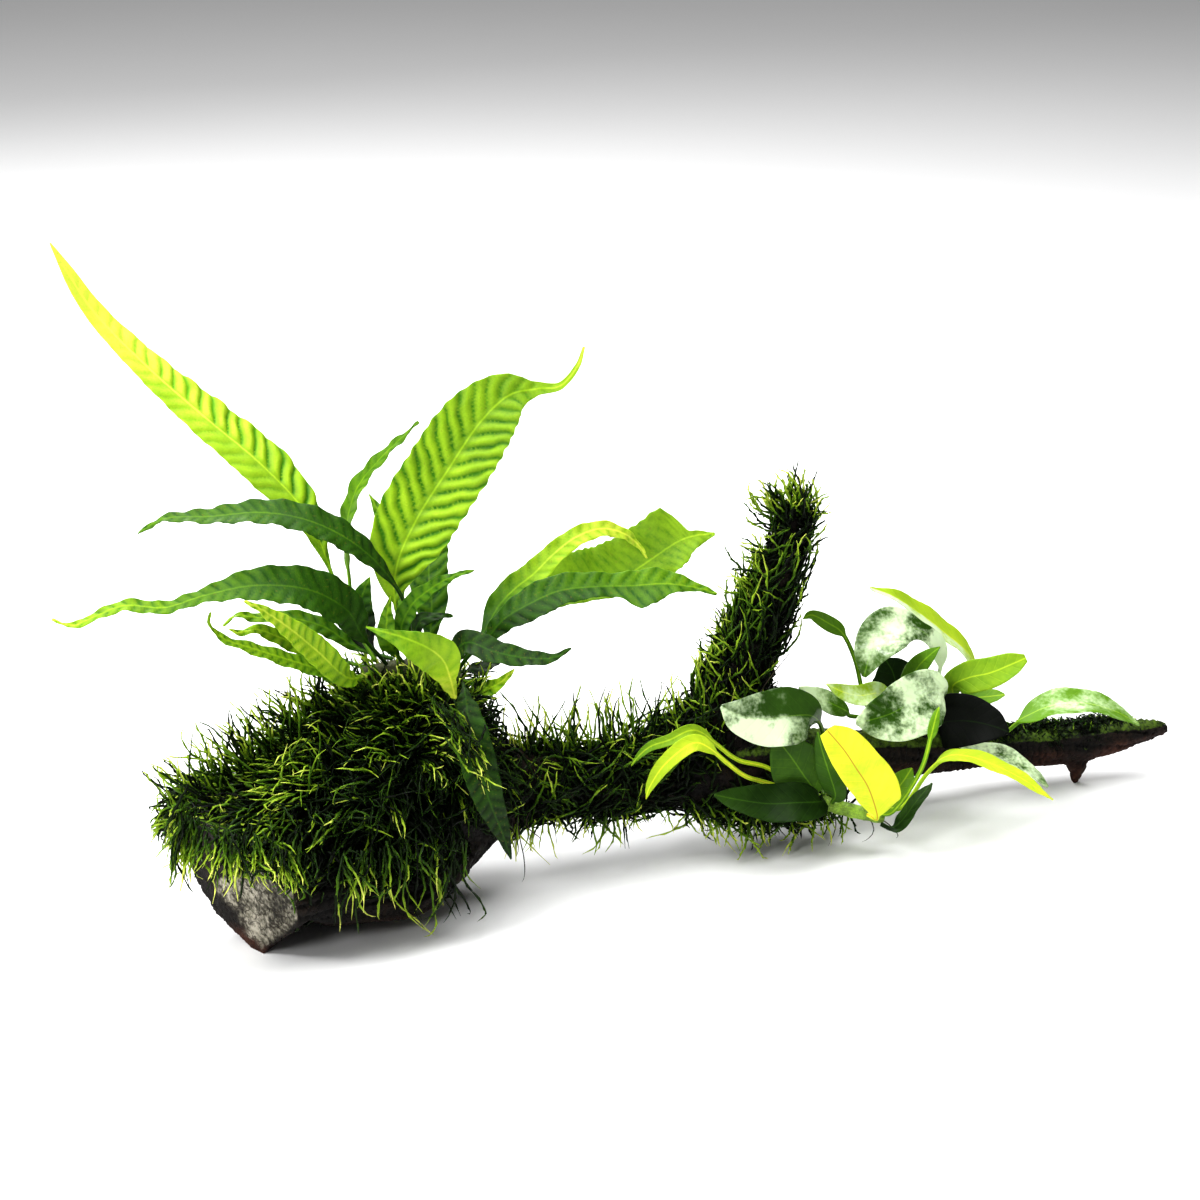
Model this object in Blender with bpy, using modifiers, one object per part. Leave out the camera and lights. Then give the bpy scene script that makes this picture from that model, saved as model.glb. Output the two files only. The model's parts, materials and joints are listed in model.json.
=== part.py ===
"""Java fern on driftwood: forked driftwood with a fern, a second water plant and carpets of moss.

Run with: blender --background --python part.py

Units are metres, +Z is up and +X runs along the wood. The origin lies in the flat foot under the thick end.
Lengths in the tables are in millimetres. The plants and limbs were placed by sighting on a photograph:
spot(px, py, depth) is the point seen at that pixel of its square frame, at that depth behind the origin.
"""

import math

import bmesh
import bpy
from mathutils import Matrix, Vector, noise

MM = 0.001

# The reference photograph: its side, the real size of a pixel at the aim point, and how the camera stood.
PHOTO_SIDE_PX = 1200
PIXEL_MM = 0.55
VIEW_DISTANCE_MM = 1800
VIEW_ELEVATION = math.radians(20)
AIM_MM = Vector((127, 40, 158.4))

# Driving dimensions of the pieces, in millimetres.
GAP = 0.4
FROND_THICKNESS = 0.8
LEAF_THICKNESS = 1.0
FROND_STALK_WIDTH = 2.2
PETIOLE_WIDTH = 2.6
TIP_WIDTH = 1.4
FERN_RHIZOME_RADIUS = 5.0
ANUBIAS_RHIZOME_RADIUS = 4.0
BARK_SQUARENESS = 1.06
CROWN_ROOM_RISE = 8
CROWN_ROOM_RADIUS = 11
SPIKE_HEIGHT = 26
SPIKE_TOP_RADIUS = 13
SPIKE_TIP_RADIUS = 1.5
SPIKE_DEPTH_BELOW = 1

# Cells along a leaf's ribbon: a long one, a forked one, one with lobes and a short one.
LONG_LEAF_STEPS = 11
FORKED_LEAF_STEPS = 25
LOBED_LEAF_STEPS = 20
SHORT_LEAF_STEPS = 7

# Colours, as linear RGB, and roughness.
FINISHES = {
    "driftwood": ((0.050, 0.026, 0.015), 0.8),
    "java_moss": ((0.090, 0.200, 0.020), 0.9),
    "fern_rhizome": ((0.060, 0.075, 0.020), 0.7),
    "fern_frond": ((0.110, 0.330, 0.025), 0.5),
    "anubias_rhizome": ((0.160, 0.300, 0.030), 0.5),
    "anubias_leaf": ((0.060, 0.220, 0.040), 0.3),
}

TOWARDS_VIEWER = Vector((0, -math.cos(VIEW_ELEVATION), math.sin(VIEW_ELEVATION)))
UPWARDS = Vector((0, 0, 1))
BACKWARDS = Vector((0, 1, 0))


def spot(px, py, depth):
    """The point, in millimetres, seen at a pixel of the photograph at this depth (Y)."""
    upward = Vector((0, math.sin(VIEW_ELEVATION), math.cos(VIEW_ELEVATION)))
    eye = AIM_MM + TOWARDS_VIEWER * VIEW_DISTANCE_MM
    slope = PIXEL_MM / VIEW_DISTANCE_MM
    ray = upward * ((PHOTO_SIDE_PX / 2 - py) * slope) - TOWARDS_VIEWER
    ray.x = (px - PHOTO_SIDE_PX / 2) * slope
    return eye + ray * ((depth - eye.y) / ray.y)


# Scene, collections and materials

def clear_scene():
    for obj in list(bpy.data.objects):
        bpy.data.objects.remove(obj)


def collection_of(name):
    made = bpy.data.collections.new(name)
    bpy.context.scene.collection.children.link(made)
    return made


def finish_of(name):
    colour, roughness = FINISHES[name]
    material = bpy.data.materials.new(name)
    material.use_nodes = True
    shader = material.node_tree.nodes["Principled BSDF"]
    shader.inputs["Base Color"].default_value = (*colour, 1)
    shader.inputs["Roughness"].default_value = roughness
    shader.inputs["Metallic"].default_value = 0
    return material


clear_scene()
PARTS = collection_of("java_fern_on_driftwood")
CUTTERS = collection_of("cutters")
MATERIALS = {name: finish_of(name) for name in FINISHES}


def object_of(name, bm, material=None):
    """A node from a bmesh in millimetres, or a hidden cutter where no material is named."""
    bmesh.ops.recalc_face_normals(bm, faces=bm.faces)
    bm.transform(Matrix.Scale(MM, 4))
    mesh = bpy.data.meshes.new(name)
    bm.to_mesh(mesh)
    bm.free()
    obj = bpy.data.objects.new(name, mesh)
    if material:
        mesh.materials.append(MATERIALS[material])
        mesh.shade_smooth()
        mesh.set_sharp_from_angle(angle=math.radians(40))
        PARTS.objects.link(obj)
    else:
        obj.hide_render = True
        obj.display_type = "WIRE"
        CUTTERS.objects.link(obj)
    return obj


def boolean(obj, other, operation):
    modifier = obj.modifiers.new(f"{operation.lower()} {other.name}", "BOOLEAN")
    modifier.operation = operation
    modifier.object = other


# Curves through a few points

def along(points, t):
    """The place at t, from 0 to 1, on a smooth curve through points, which are vectors of any length."""
    last = len(points) - 1
    at = min(max(t, 0.0), 1.0) * last
    i = min(int(at), last - 1)
    f = at - i
    before = points[i - 1] if i else points[i] * 2 - points[i + 1]
    after = points[i + 2] if i + 2 <= last else points[i + 1] * 2 - points[i]
    a, b = points[i], points[i + 1]
    return 0.5 * (2 * a + (b - before) * f + (2 * before - 5 * a + 4 * b - after) * f ** 2
                  + (3 * a - before - 3 * b + after) * f ** 3)


def heading(points, t):
    step = 0.01
    return (along(points, min(t + step, 1)) - along(points, max(t - step, 0))).normalized()


def evenly(points, count):
    """Count values of t that lie at equal distances along the curve."""
    fine = 200
    length = [0.0]
    for i in range(fine):
        length.append(length[-1] + (along(points, (i + 1) / fine) - along(points, i / fine)).length)
    found = []
    i = 0
    for k in range(count):
        target = length[-1] * k / (count - 1)
        while i < fine and length[i] < target:
            i += 1
        found.append(i / fine)
    return found


# Limbs, rhizomes and moss: tubes with an uneven oval section

def rounded(share, squareness):
    """One coordinate of a circle, pushed out toward a square's side as squareness falls below 1."""
    return math.copysign(abs(share) ** squareness, share)


def limb_mesh(stations, sides, rings, rough, seed, grow=0.0, level=UPWARDS, squareness=1.0):
    """A closed tube through stations (centre, half width, half height), with lumps that follow a noise."""
    centres = [Vector(s[0]) for s in stations]
    sizes = [Vector((s[1], s[2])) for s in stations]
    bm = bmesh.new()
    loops = []
    for k in range(rings):
        t = k / (rings - 1)
        centre, size, forward = along(centres, t), along(sizes, t), heading(centres, t)
        side = forward.cross(level).normalized()
        up = side.cross(forward)
        loop = []
        for j in range(sides):
            angle = 2 * math.pi * j / sides
            arm = side * (rounded(math.cos(angle), squareness) * size.x)
            arm += up * (rounded(math.sin(angle), squareness) * size.y)
            lump = noise.noise((centre + arm) * 0.035 + Vector((seed, 0, 0))) * rough
            lump += noise.noise((centre + arm) * 0.09 + Vector((0, seed, 0))) * rough * 0.5
            loop.append(bm.verts.new(centre + arm * (1 + lump)))
        loops.append(loop)
    for a, b in zip(loops, loops[1:]):
        for j in range(sides):
            n = (j + 1) % sides
            bm.faces.new((a[j], a[n], b[n], b[j]))
    for loop in (loops[0], loops[-1]):
        bm.faces.new(loop)
    bmesh.ops.recalc_face_normals(bm, faces=bm.faces)
    bmesh.ops.triangulate(bm, faces=bm.faces, quad_method="FIXED")
    bm.normal_update()
    for v, move in [(v, v.normal * grow) for v in bm.verts]:
        v.co += move
    return bm


def sighted_prism(outline, near, far):
    """All that is seen inside an outline of pixels, between two depths: it trims a piece to its outline."""
    bm = bmesh.new()
    loops = [[bm.verts.new(spot(px, py, depth)) for px, py in outline] for depth in (near, far)]
    for loop in loops:
        bm.faces.new(loop)
    for i in range(len(outline)):
        n = (i + 1) % len(outline)
        bm.faces.new((loops[0][i], loops[0][n], loops[1][n], loops[1][i]))
    bmesh.ops.triangulate(bm, faces=bm.faces)
    return bm


def box_mesh(centre, size, turn=Matrix()):
    bm = bmesh.new()
    stretch = Matrix.Diagonal((*size, 1))
    bmesh.ops.create_cube(bm, size=1, matrix=Matrix.Translation(centre) @ turn @ stretch)
    return bm


# Driftwood: the thick sawn log that narrows to the fork, its bark lip, and its two limbs.
# A station is centre, half width and half height.

TRUNK = [
    ((-109, -101, 42), 45, 42),
    ((-64, -71, 42), 47, 44),
    ((-26, -38, 44), 48, 48),
    ((12, -6, 52), 48, 59),
    ((44, 8, 57), 37, 47),
    (spot(505, 785, 20), 24, 25),
    (spot(560, 783, 32), 18, 18),
    (spot(620, 781, 45), 17, 17),
    (spot(680, 772, 60), 20, 21),
    (spot(735, 757, 75), 24, 25),
    (spot(785, 757, 88), 21, 20),
]
BARK_LIP = [
    ((-44, -78, 40), 9, 10),
    ((-30, -76, 36), 13, 14),
    ((-6, -65, 29), 16, 15),
    ((20, -48, 23), 17, 15),
    ((44, -26, 32), 14, 15),
    ((60, -2, 44), 8, 8),
]
LONG_BRANCH = [
    (spot(770, 757, 84), 20, 18),
    (spot(850, 755, 106), 17, 16),
    (spot(930, 752, 128), 15, 14),
    (spot(1000, 746, 144), 13, 12.5),
    (spot(1060, 745, 155), 12.5, 12),
    (spot(1115, 735, 164), 10, 10),
    (spot(1148, 730, 168), 7.5, 7),
    (spot(1166, 728, 171), 4, 4),
]
UPRIGHT_BRANCH = [
    (spot(712, 757, 72), 26, 22),
    (spot(724, 717, 75), 22, 19),
    (spot(742, 668, 78), 16.5, 15.5),
    (spot(763, 610, 80), 13, 12),
    (spot(780, 560, 82), 10.5, 10),
    (spot(793, 522, 83), 7, 7),
    (spot(796, 510, 84), 3.5, 3.5),
]

# What lies below the thick end in the photograph, so that its toe and belly keep their outline.
BELLY_OUTLINE = [
    (120, 845), (174, 866), (192, 890), (208, 898), (219, 916), (235, 938), (256, 958), (262, 955),
    (286, 936), (307, 921), (332, 925), (370, 922), (396, 926), (416, 926), (438, 908), (450, 888),
    (476, 868), (500, 990), (120, 990)]
BELLY_DEPTHS = (-200, 60)

CUT_FACE = Vector((-67, -68, 42))
CUT_TURN = math.radians(-45)
CUT_LEAN = math.radians(6)
FORK_SHARE = 0.12


def trunk_mesh(grow=0.0):
    return limb_mesh(TRUNK, 16, 20, 0.16, 3.1, grow, squareness=BARK_SQUARENESS)


def bark_lip_mesh(grow=0.0):
    return limb_mesh(BARK_LIP, 8, 11, 0.3, 9.2, grow)


def long_branch_mesh(grow=0.0):
    return limb_mesh(LONG_BRANCH, 10, 14, 0.25, 7.7, grow)


def upright_branch_mesh(grow=0.0):
    return limb_mesh(UPRIGHT_BRANCH, 10, 11, 0.2, 5.3, grow, level=BACKWARDS)


WOODS = {"trunk": trunk_mesh, "lip": bark_lip_mesh,
         "long": long_branch_mesh, "upright": upright_branch_mesh}


def make_driftwood():
    ground = object_of("ground", box_mesh((150, 0, -100), (1200, 900, 200)))
    turn = Matrix.Rotation(CUT_TURN, 4, "Z") @ Matrix.Rotation(CUT_LEAN, 4, "X")
    saw = object_of("end_saw", box_mesh(CUT_FACE + turn @ Vector((0, -100, 0)), (300, 200, 400), turn))

    root, tip = LONG_BRANCH[0][0], LONG_BRANCH[1][0]
    facing = (tip - root).to_track_quat("Y", "Z").to_matrix().to_4x4()
    fork = root.lerp(tip, FORK_SHARE)
    side = 200
    reach = facing @ Vector((0, side / 2 - GAP / 2, 0))
    trunk_end = object_of("trunk_end_saw", box_mesh(fork + reach, (side, side, side), facing))
    branch_root = object_of("branch_root_saw", box_mesh(fork - reach, (side, side, side), facing))

    trunk = object_of("driftwood_trunk", trunk_mesh(), "driftwood")
    boolean(trunk, object_of("bark_lip", bark_lip_mesh()), "UNION")
    belly = object_of("belly_trim", sighted_prism(BELLY_OUTLINE, *BELLY_DEPTHS))
    for cutter in (saw, ground, trunk_end, belly):
        boolean(trunk, cutter, "DIFFERENCE")

    branch = object_of("driftwood_long_branch", long_branch_mesh(), "driftwood")
    foot = spot(1075, 782, 156)
    place = Matrix.Translation((foot.x, foot.y, SPIKE_HEIGHT / 2 - SPIKE_DEPTH_BELOW))
    spike = bmesh.new()
    bmesh.ops.create_cone(spike, cap_ends=True, segments=7, radius1=SPIKE_TIP_RADIUS,
                          radius2=SPIKE_TOP_RADIUS, depth=SPIKE_HEIGHT, matrix=place)
    boolean(branch, object_of("spike", spike), "UNION")
    for cutter in (ground, branch_root):
        boolean(branch, cutter, "DIFFERENCE")

    upright = object_of("driftwood_upright_branch", upright_branch_mesh(), "driftwood")
    boolean(upright, object_of("trunk_room", trunk_mesh(GAP)), "DIFFERENCE")
    boolean(upright, object_of("long_branch_room", long_branch_mesh(GAP)), "DIFFERENCE")


# Rhizomes: the creeping stems that the leaves grow from.

FERN_RHIZOME = [spot(362, 674, -5), spot(410, 668, -1), spot(462, 682, 5)]
FRONT_RHIZOME = [spot(790, 788, 58), spot(835, 806, 54), spot(884, 818, 50)]
CROWN = [spot(348, 672, -7), spot(410, 668, -1), spot(482, 688, -4)]
BACK_RHIZOME = [spot(862, 721, 106), spot(905, 718, 118), spot(955, 719, 131)]
RHIZOMES = {
    "fern_rhizome": (FERN_RHIZOME, FERN_RHIZOME_RADIUS, "fern_rhizome"),
    "anubias_rhizome_front": (FRONT_RHIZOME, ANUBIAS_RHIZOME_RADIUS, "anubias_rhizome"),
    "anubias_rhizome_back": (BACK_RHIZOME, ANUBIAS_RHIZOME_RADIUS, "anubias_rhizome"),
}


def rhizome_mesh(name, grow=0.0):
    line, radius, _ = RHIZOMES[name]
    shares = (0.72, 1.0, 0.8)
    return limb_mesh([(p, radius * k, radius * k) for p, k in zip(line, shares)], 8, 7, 0.1, 1.7, grow)


def make_rhizomes():
    for name, (_, _, material) in RHIZOMES.items():
        object_of(name, rhizome_mesh(name), material)


# Moss: the outer form of each carpet, hollowed for the wood and the rhizomes that it grows round.

MOSS = {
    "moss_on_trunk": dict(
        sides=16, rings=15, seed=2.2, woods=("trunk", "lip"), rhizomes=("fern_rhizome",), neighbours=(),
        stations=[
            ((-92, -85, 55), 36, 21),
            ((-78, -76, 57), 48, 35),
            ((-52, -60, 63), 53, 42),
            ((-22, -40, 66), 58, 52),
            ((8, -20, 71), 60, 60),
            ((34, 0, 73), 50, 60),
            ((56, 12, 58), 37, 37),
            (spot(510, 785, 21), 29, 28),
        ]),
    "moss_on_branch": dict(
        sides=14, rings=12, seed=4.6, woods=("trunk", "upright"), rhizomes=(),
        neighbours=("moss_on_trunk",),
        stations=[
            (spot(508, 785, 21), 26, 26),
            (spot(560, 781, 32), 24, 25),
            (spot(620, 777, 45), 24, 26),
            (spot(668, 759, 58), 27, 31),
            (spot(697, 748, 68), 28, 33),
            (spot(732, 742, 77), 26, 27),
        ]),
    "moss_on_upright_branch": dict(
        sides=12, rings=10, seed=6.4, level=BACKWARDS, woods=("upright",), rhizomes=(),
        neighbours=("moss_on_branch",),
        stations=[
            (spot(731, 692, 76), 25, 25),
            (spot(745, 652, 79), 22.5, 22),
            (spot(765, 600, 81), 19.5, 19),
            (spot(783, 550, 82), 17, 17),
            (spot(794, 515, 83), 17, 17),
            (spot(796, 492, 84), 12, 12),
        ]),
    "moss_under_fork": dict(
        sides=12, rings=8, seed=8.9, woods=("trunk", "long", "upright"),
        rhizomes=("anubias_rhizome_front",), neighbours=("moss_on_branch",),
        stations=[
            (spot(708, 790, 66), 21, 17),
            (spot(745, 797, 67), 24, 19),
            (spot(790, 802, 73), 23, 18),
            (spot(836, 798, 88), 15, 12),
        ]),
    "moss_on_long_branch": dict(
        sides=10, rings=9, seed=1.3, woods=("long",), rhizomes=(), neighbours=(),
        stations=[
            (spot(985, 737, 142), 12, 11),
            (spot(1020, 735, 149), 13, 12),
            (spot(1070, 732, 158), 11, 10),
            (spot(1115, 726, 165), 9, 9),
            (spot(1140, 724, 168), 5, 5),
        ]),
}


def crown_room_mesh():
    """A trough over the fern's rhizome, where its stalks leave the moss."""
    rise = Vector((0, 0, CROWN_ROOM_RISE))
    return limb_mesh([(p + rise, CROWN_ROOM_RADIUS, CROWN_ROOM_RADIUS) for p in CROWN], 8, 5, 0, 0)


def moss_mesh(name, grow=0.0):
    moss = MOSS[name]
    return limb_mesh(moss["stations"], moss["sides"], moss["rings"], 0.24, moss["seed"], grow,
                     moss.get("level", UPWARDS))


def make_moss():
    for name, moss in MOSS.items():
        rooms = [WOODS[wood](GAP) for wood in moss["woods"]]
        rooms += [rhizome_mesh(rhizome, GAP) for rhizome in moss["rhizomes"]]
        rooms += [moss_mesh(neighbour, GAP) for neighbour in moss["neighbours"]]
        if "fern_rhizome" in moss["rhizomes"]:
            rooms.append(crown_room_mesh())
        carpet = object_of(name, moss_mesh(name), "java_moss")
        for number, room in enumerate(rooms):
            boolean(carpet, object_of(f"{name}_room_{number}", room), "DIFFERENCE")


# Leaves. Each is one ribbon from its stalk's root on a rhizome to its tip, bent along its rib and thickened.
# at is where along the rhizome it grows, width is the blade's widest and stalk is the stalk's share of the
# length. Edges are the shares of the half width that each side reaches, from the blade's foot to
# its tip. Fold lifts both halves, and turn is the blade's turn at root and tip: 0 faces the viewer.

LANCE = (0.12, 0.44, 0.75, 0.93, 1.0, 0.97, 0.87, 0.72, 0.53, 0.31, 0.08)
OVAL = (0.15, 0.66, 0.92, 1.0, 0.98, 0.90, 0.74, 0.50, 0.10)


def half_width(leaf, side, share):
    """Half the leaf's width on one side, in millimetres, at this share of its length."""
    stalk = leaf["stalk"]
    if share < stalk:
        return leaf["stalk_width"] / 2
    f = (share - stalk) / (1 - stalk)
    edge = leaf["edges"][side]
    place = f * (len(edge) - 1)
    i = min(int(place), len(edge) - 2)
    swell = edge[i] + (edge[i + 1] - edge[i]) * (place - i)
    least = leaf["stalk_width"] * (1 - f) + TIP_WIDTH * f
    return max(leaf["width"] * swell, least) / 2


def leaf_frame(rib, t, turn):
    """The blade's two directions at t: across the rib, and out of its face."""
    forward = heading(rib, t)
    across = forward.cross(TOWARDS_VIEWER).normalized()
    outward = across.cross(forward)
    return (across * math.cos(turn) + outward * math.sin(turn),
            outward * math.cos(turn) - across * math.sin(turn))


def rooted(line, radius, share, toward):
    """Where a stalk that leaves for a point starts, just clear of its rhizome."""
    axis, forward = along(line, share), heading(line, share)
    lean = toward - axis
    lean -= forward * lean.dot(forward)
    return axis + lean.normalized() * (radius + 2 * GAP)


def make_leaf(name, leaf, kind):
    line, radius, _ = RHIZOMES[leaf["from"]]
    points = [spot(*p) for p in leaf["rib"]]
    rib = [rooted(line, radius, leaf["at"], points[0])] + points
    turns = [math.radians(a) for a in leaf["turn"]]
    steps = leaf["steps"]
    places = evenly(rib, steps + 1)
    bm = bmesh.new()
    bmesh.ops.create_grid(bm, x_segments=steps, y_segments=2, size=1)
    for v in bm.verts:
        share = (v.co.x + 1) / 2
        t = places[round(share * steps)]
        across, outward = leaf_frame(rib, t, turns[0] + (turns[1] - turns[0]) * share)
        reach = v.co.y * half_width(leaf, 0 if v.co.y < 0 else 1, share)
        v.co = along(rib, t) + across * reach + outward * (leaf["fold"] * abs(reach))
    obj = object_of(name, bm, kind)
    skin = obj.modifiers.new("thickness", "SOLIDIFY")
    skin.thickness = (FROND_THICKNESS if kind == "fern_frond" else LEAF_THICKNESS) * MM
    skin.offset = 0


FROND = {"from": "fern_rhizome", "stalk_width": FROND_STALK_WIDTH, "edges": (LANCE, LANCE), "fold": 0.2}
LONG, SHORT = {"steps": LONG_LEAF_STEPS}, {"steps": SHORT_LEAF_STEPS}
FORKED, LOBED = {"steps": FORKED_LEAF_STEPS}, {"steps": LOBED_LEAF_STEPS}
TALL_LEFT_EDGE = (0.12, 0.45, 0.8, 1.0, 0.96, 0.9, 0.78, 0.66, 0.55, 0.44, 0.3, 0.05)
LOW_LEFT_EDGE = (0.2, 0.6, 0.92, 1.0, 0.95, 0.85, 0.62, 0.38, 0.34, 0.34, 0.28, 0.2, 0.05)
TAILED_EDGE = (0.1, 0.5, 0.82, 0.97, 1.0, 1.0, 1.0, 0.97, 0.86, 0.62, 0.22, 0.1, 0.07, 0.03)
FORKED_UPPER_EDGE = (0.19, 0.42, 0.68, 0.86, 0.96, 1.0, 0.99, 0.96, 0.94, 0.9, 0.87, 0.85, 0.85, 0.86, 0.88,
                     0.14, 0.09, 0.04)
FORKED_LOWER_EDGE = (0.1, 0.12, 0.14, 0.16, 0.18, 0.2, 0.24, 0.3, 0.36, 0.44, 0.52, 0.58, 0.6, 0.6, 0.52,
                     0.37, 0.21, 0.04)
LOBED_UPPER_EDGE = (0.12, 0.2, 0.33, 0.41, 0.53, 0.65, 0.65, 0.63, 0.61, 0.57, 0.51, 0.53, 0.59, 0.63, 0.49,
                    0.33, 0.18, 0.05)
LOBED_LOWER_EDGE = (0.1, 0.2, 0.37, 0.53, 0.65, 0.73, 0.69, 0.61, 0.53, 0.47, 0.39, 0.57, 1.0, 0.78, 0.41,
                    0.2, 0.12, 0.05)
ARCHING_EDGE = (0.3, 0.8, 1.0, 1.0, 0.9, 0.8, 0.75, 0.65, 0.5, 0.3, 0.05)
DROOPING_LOWER_EDGE = (0.12, 0.25, 0.42, 0.65, 0.85, 0.95, 0.97, 0.82, 0.5, 0.24, 0.05)
DROOPING_UPPER_EDGE = (0.12, 0.12, 0.2, 0.32, 0.68, 0.9, 0.76, 0.5, 0.26, 0.12, 0.05)
BLUNT_EDGE = (0.15, 0.62, 0.88, 1.0, 1.0, 0.95, 0.85, 0.66, 0.32)
YELLOW_LEFT_EDGE = (0.1, 0.35, 0.5, 0.58, 0.62, 0.62, 0.6, 0.5, 0.3)
YELLOW_RIGHT_EDGE = (0.2, 0.8, 1.0, 1.0, 0.95, 0.88, 0.8, 0.66, 0.3)
NARROW_OVAL = (0.15, 0.5, 0.68, 0.75, 0.74, 0.7, 0.6, 0.42, 0.1)
SPOON_EDGE = (0.2, 0.36, 0.42, 0.4, 0.45, 0.75, 1.0, 1.0, 0.8, 0.5, 0.1)

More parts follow.
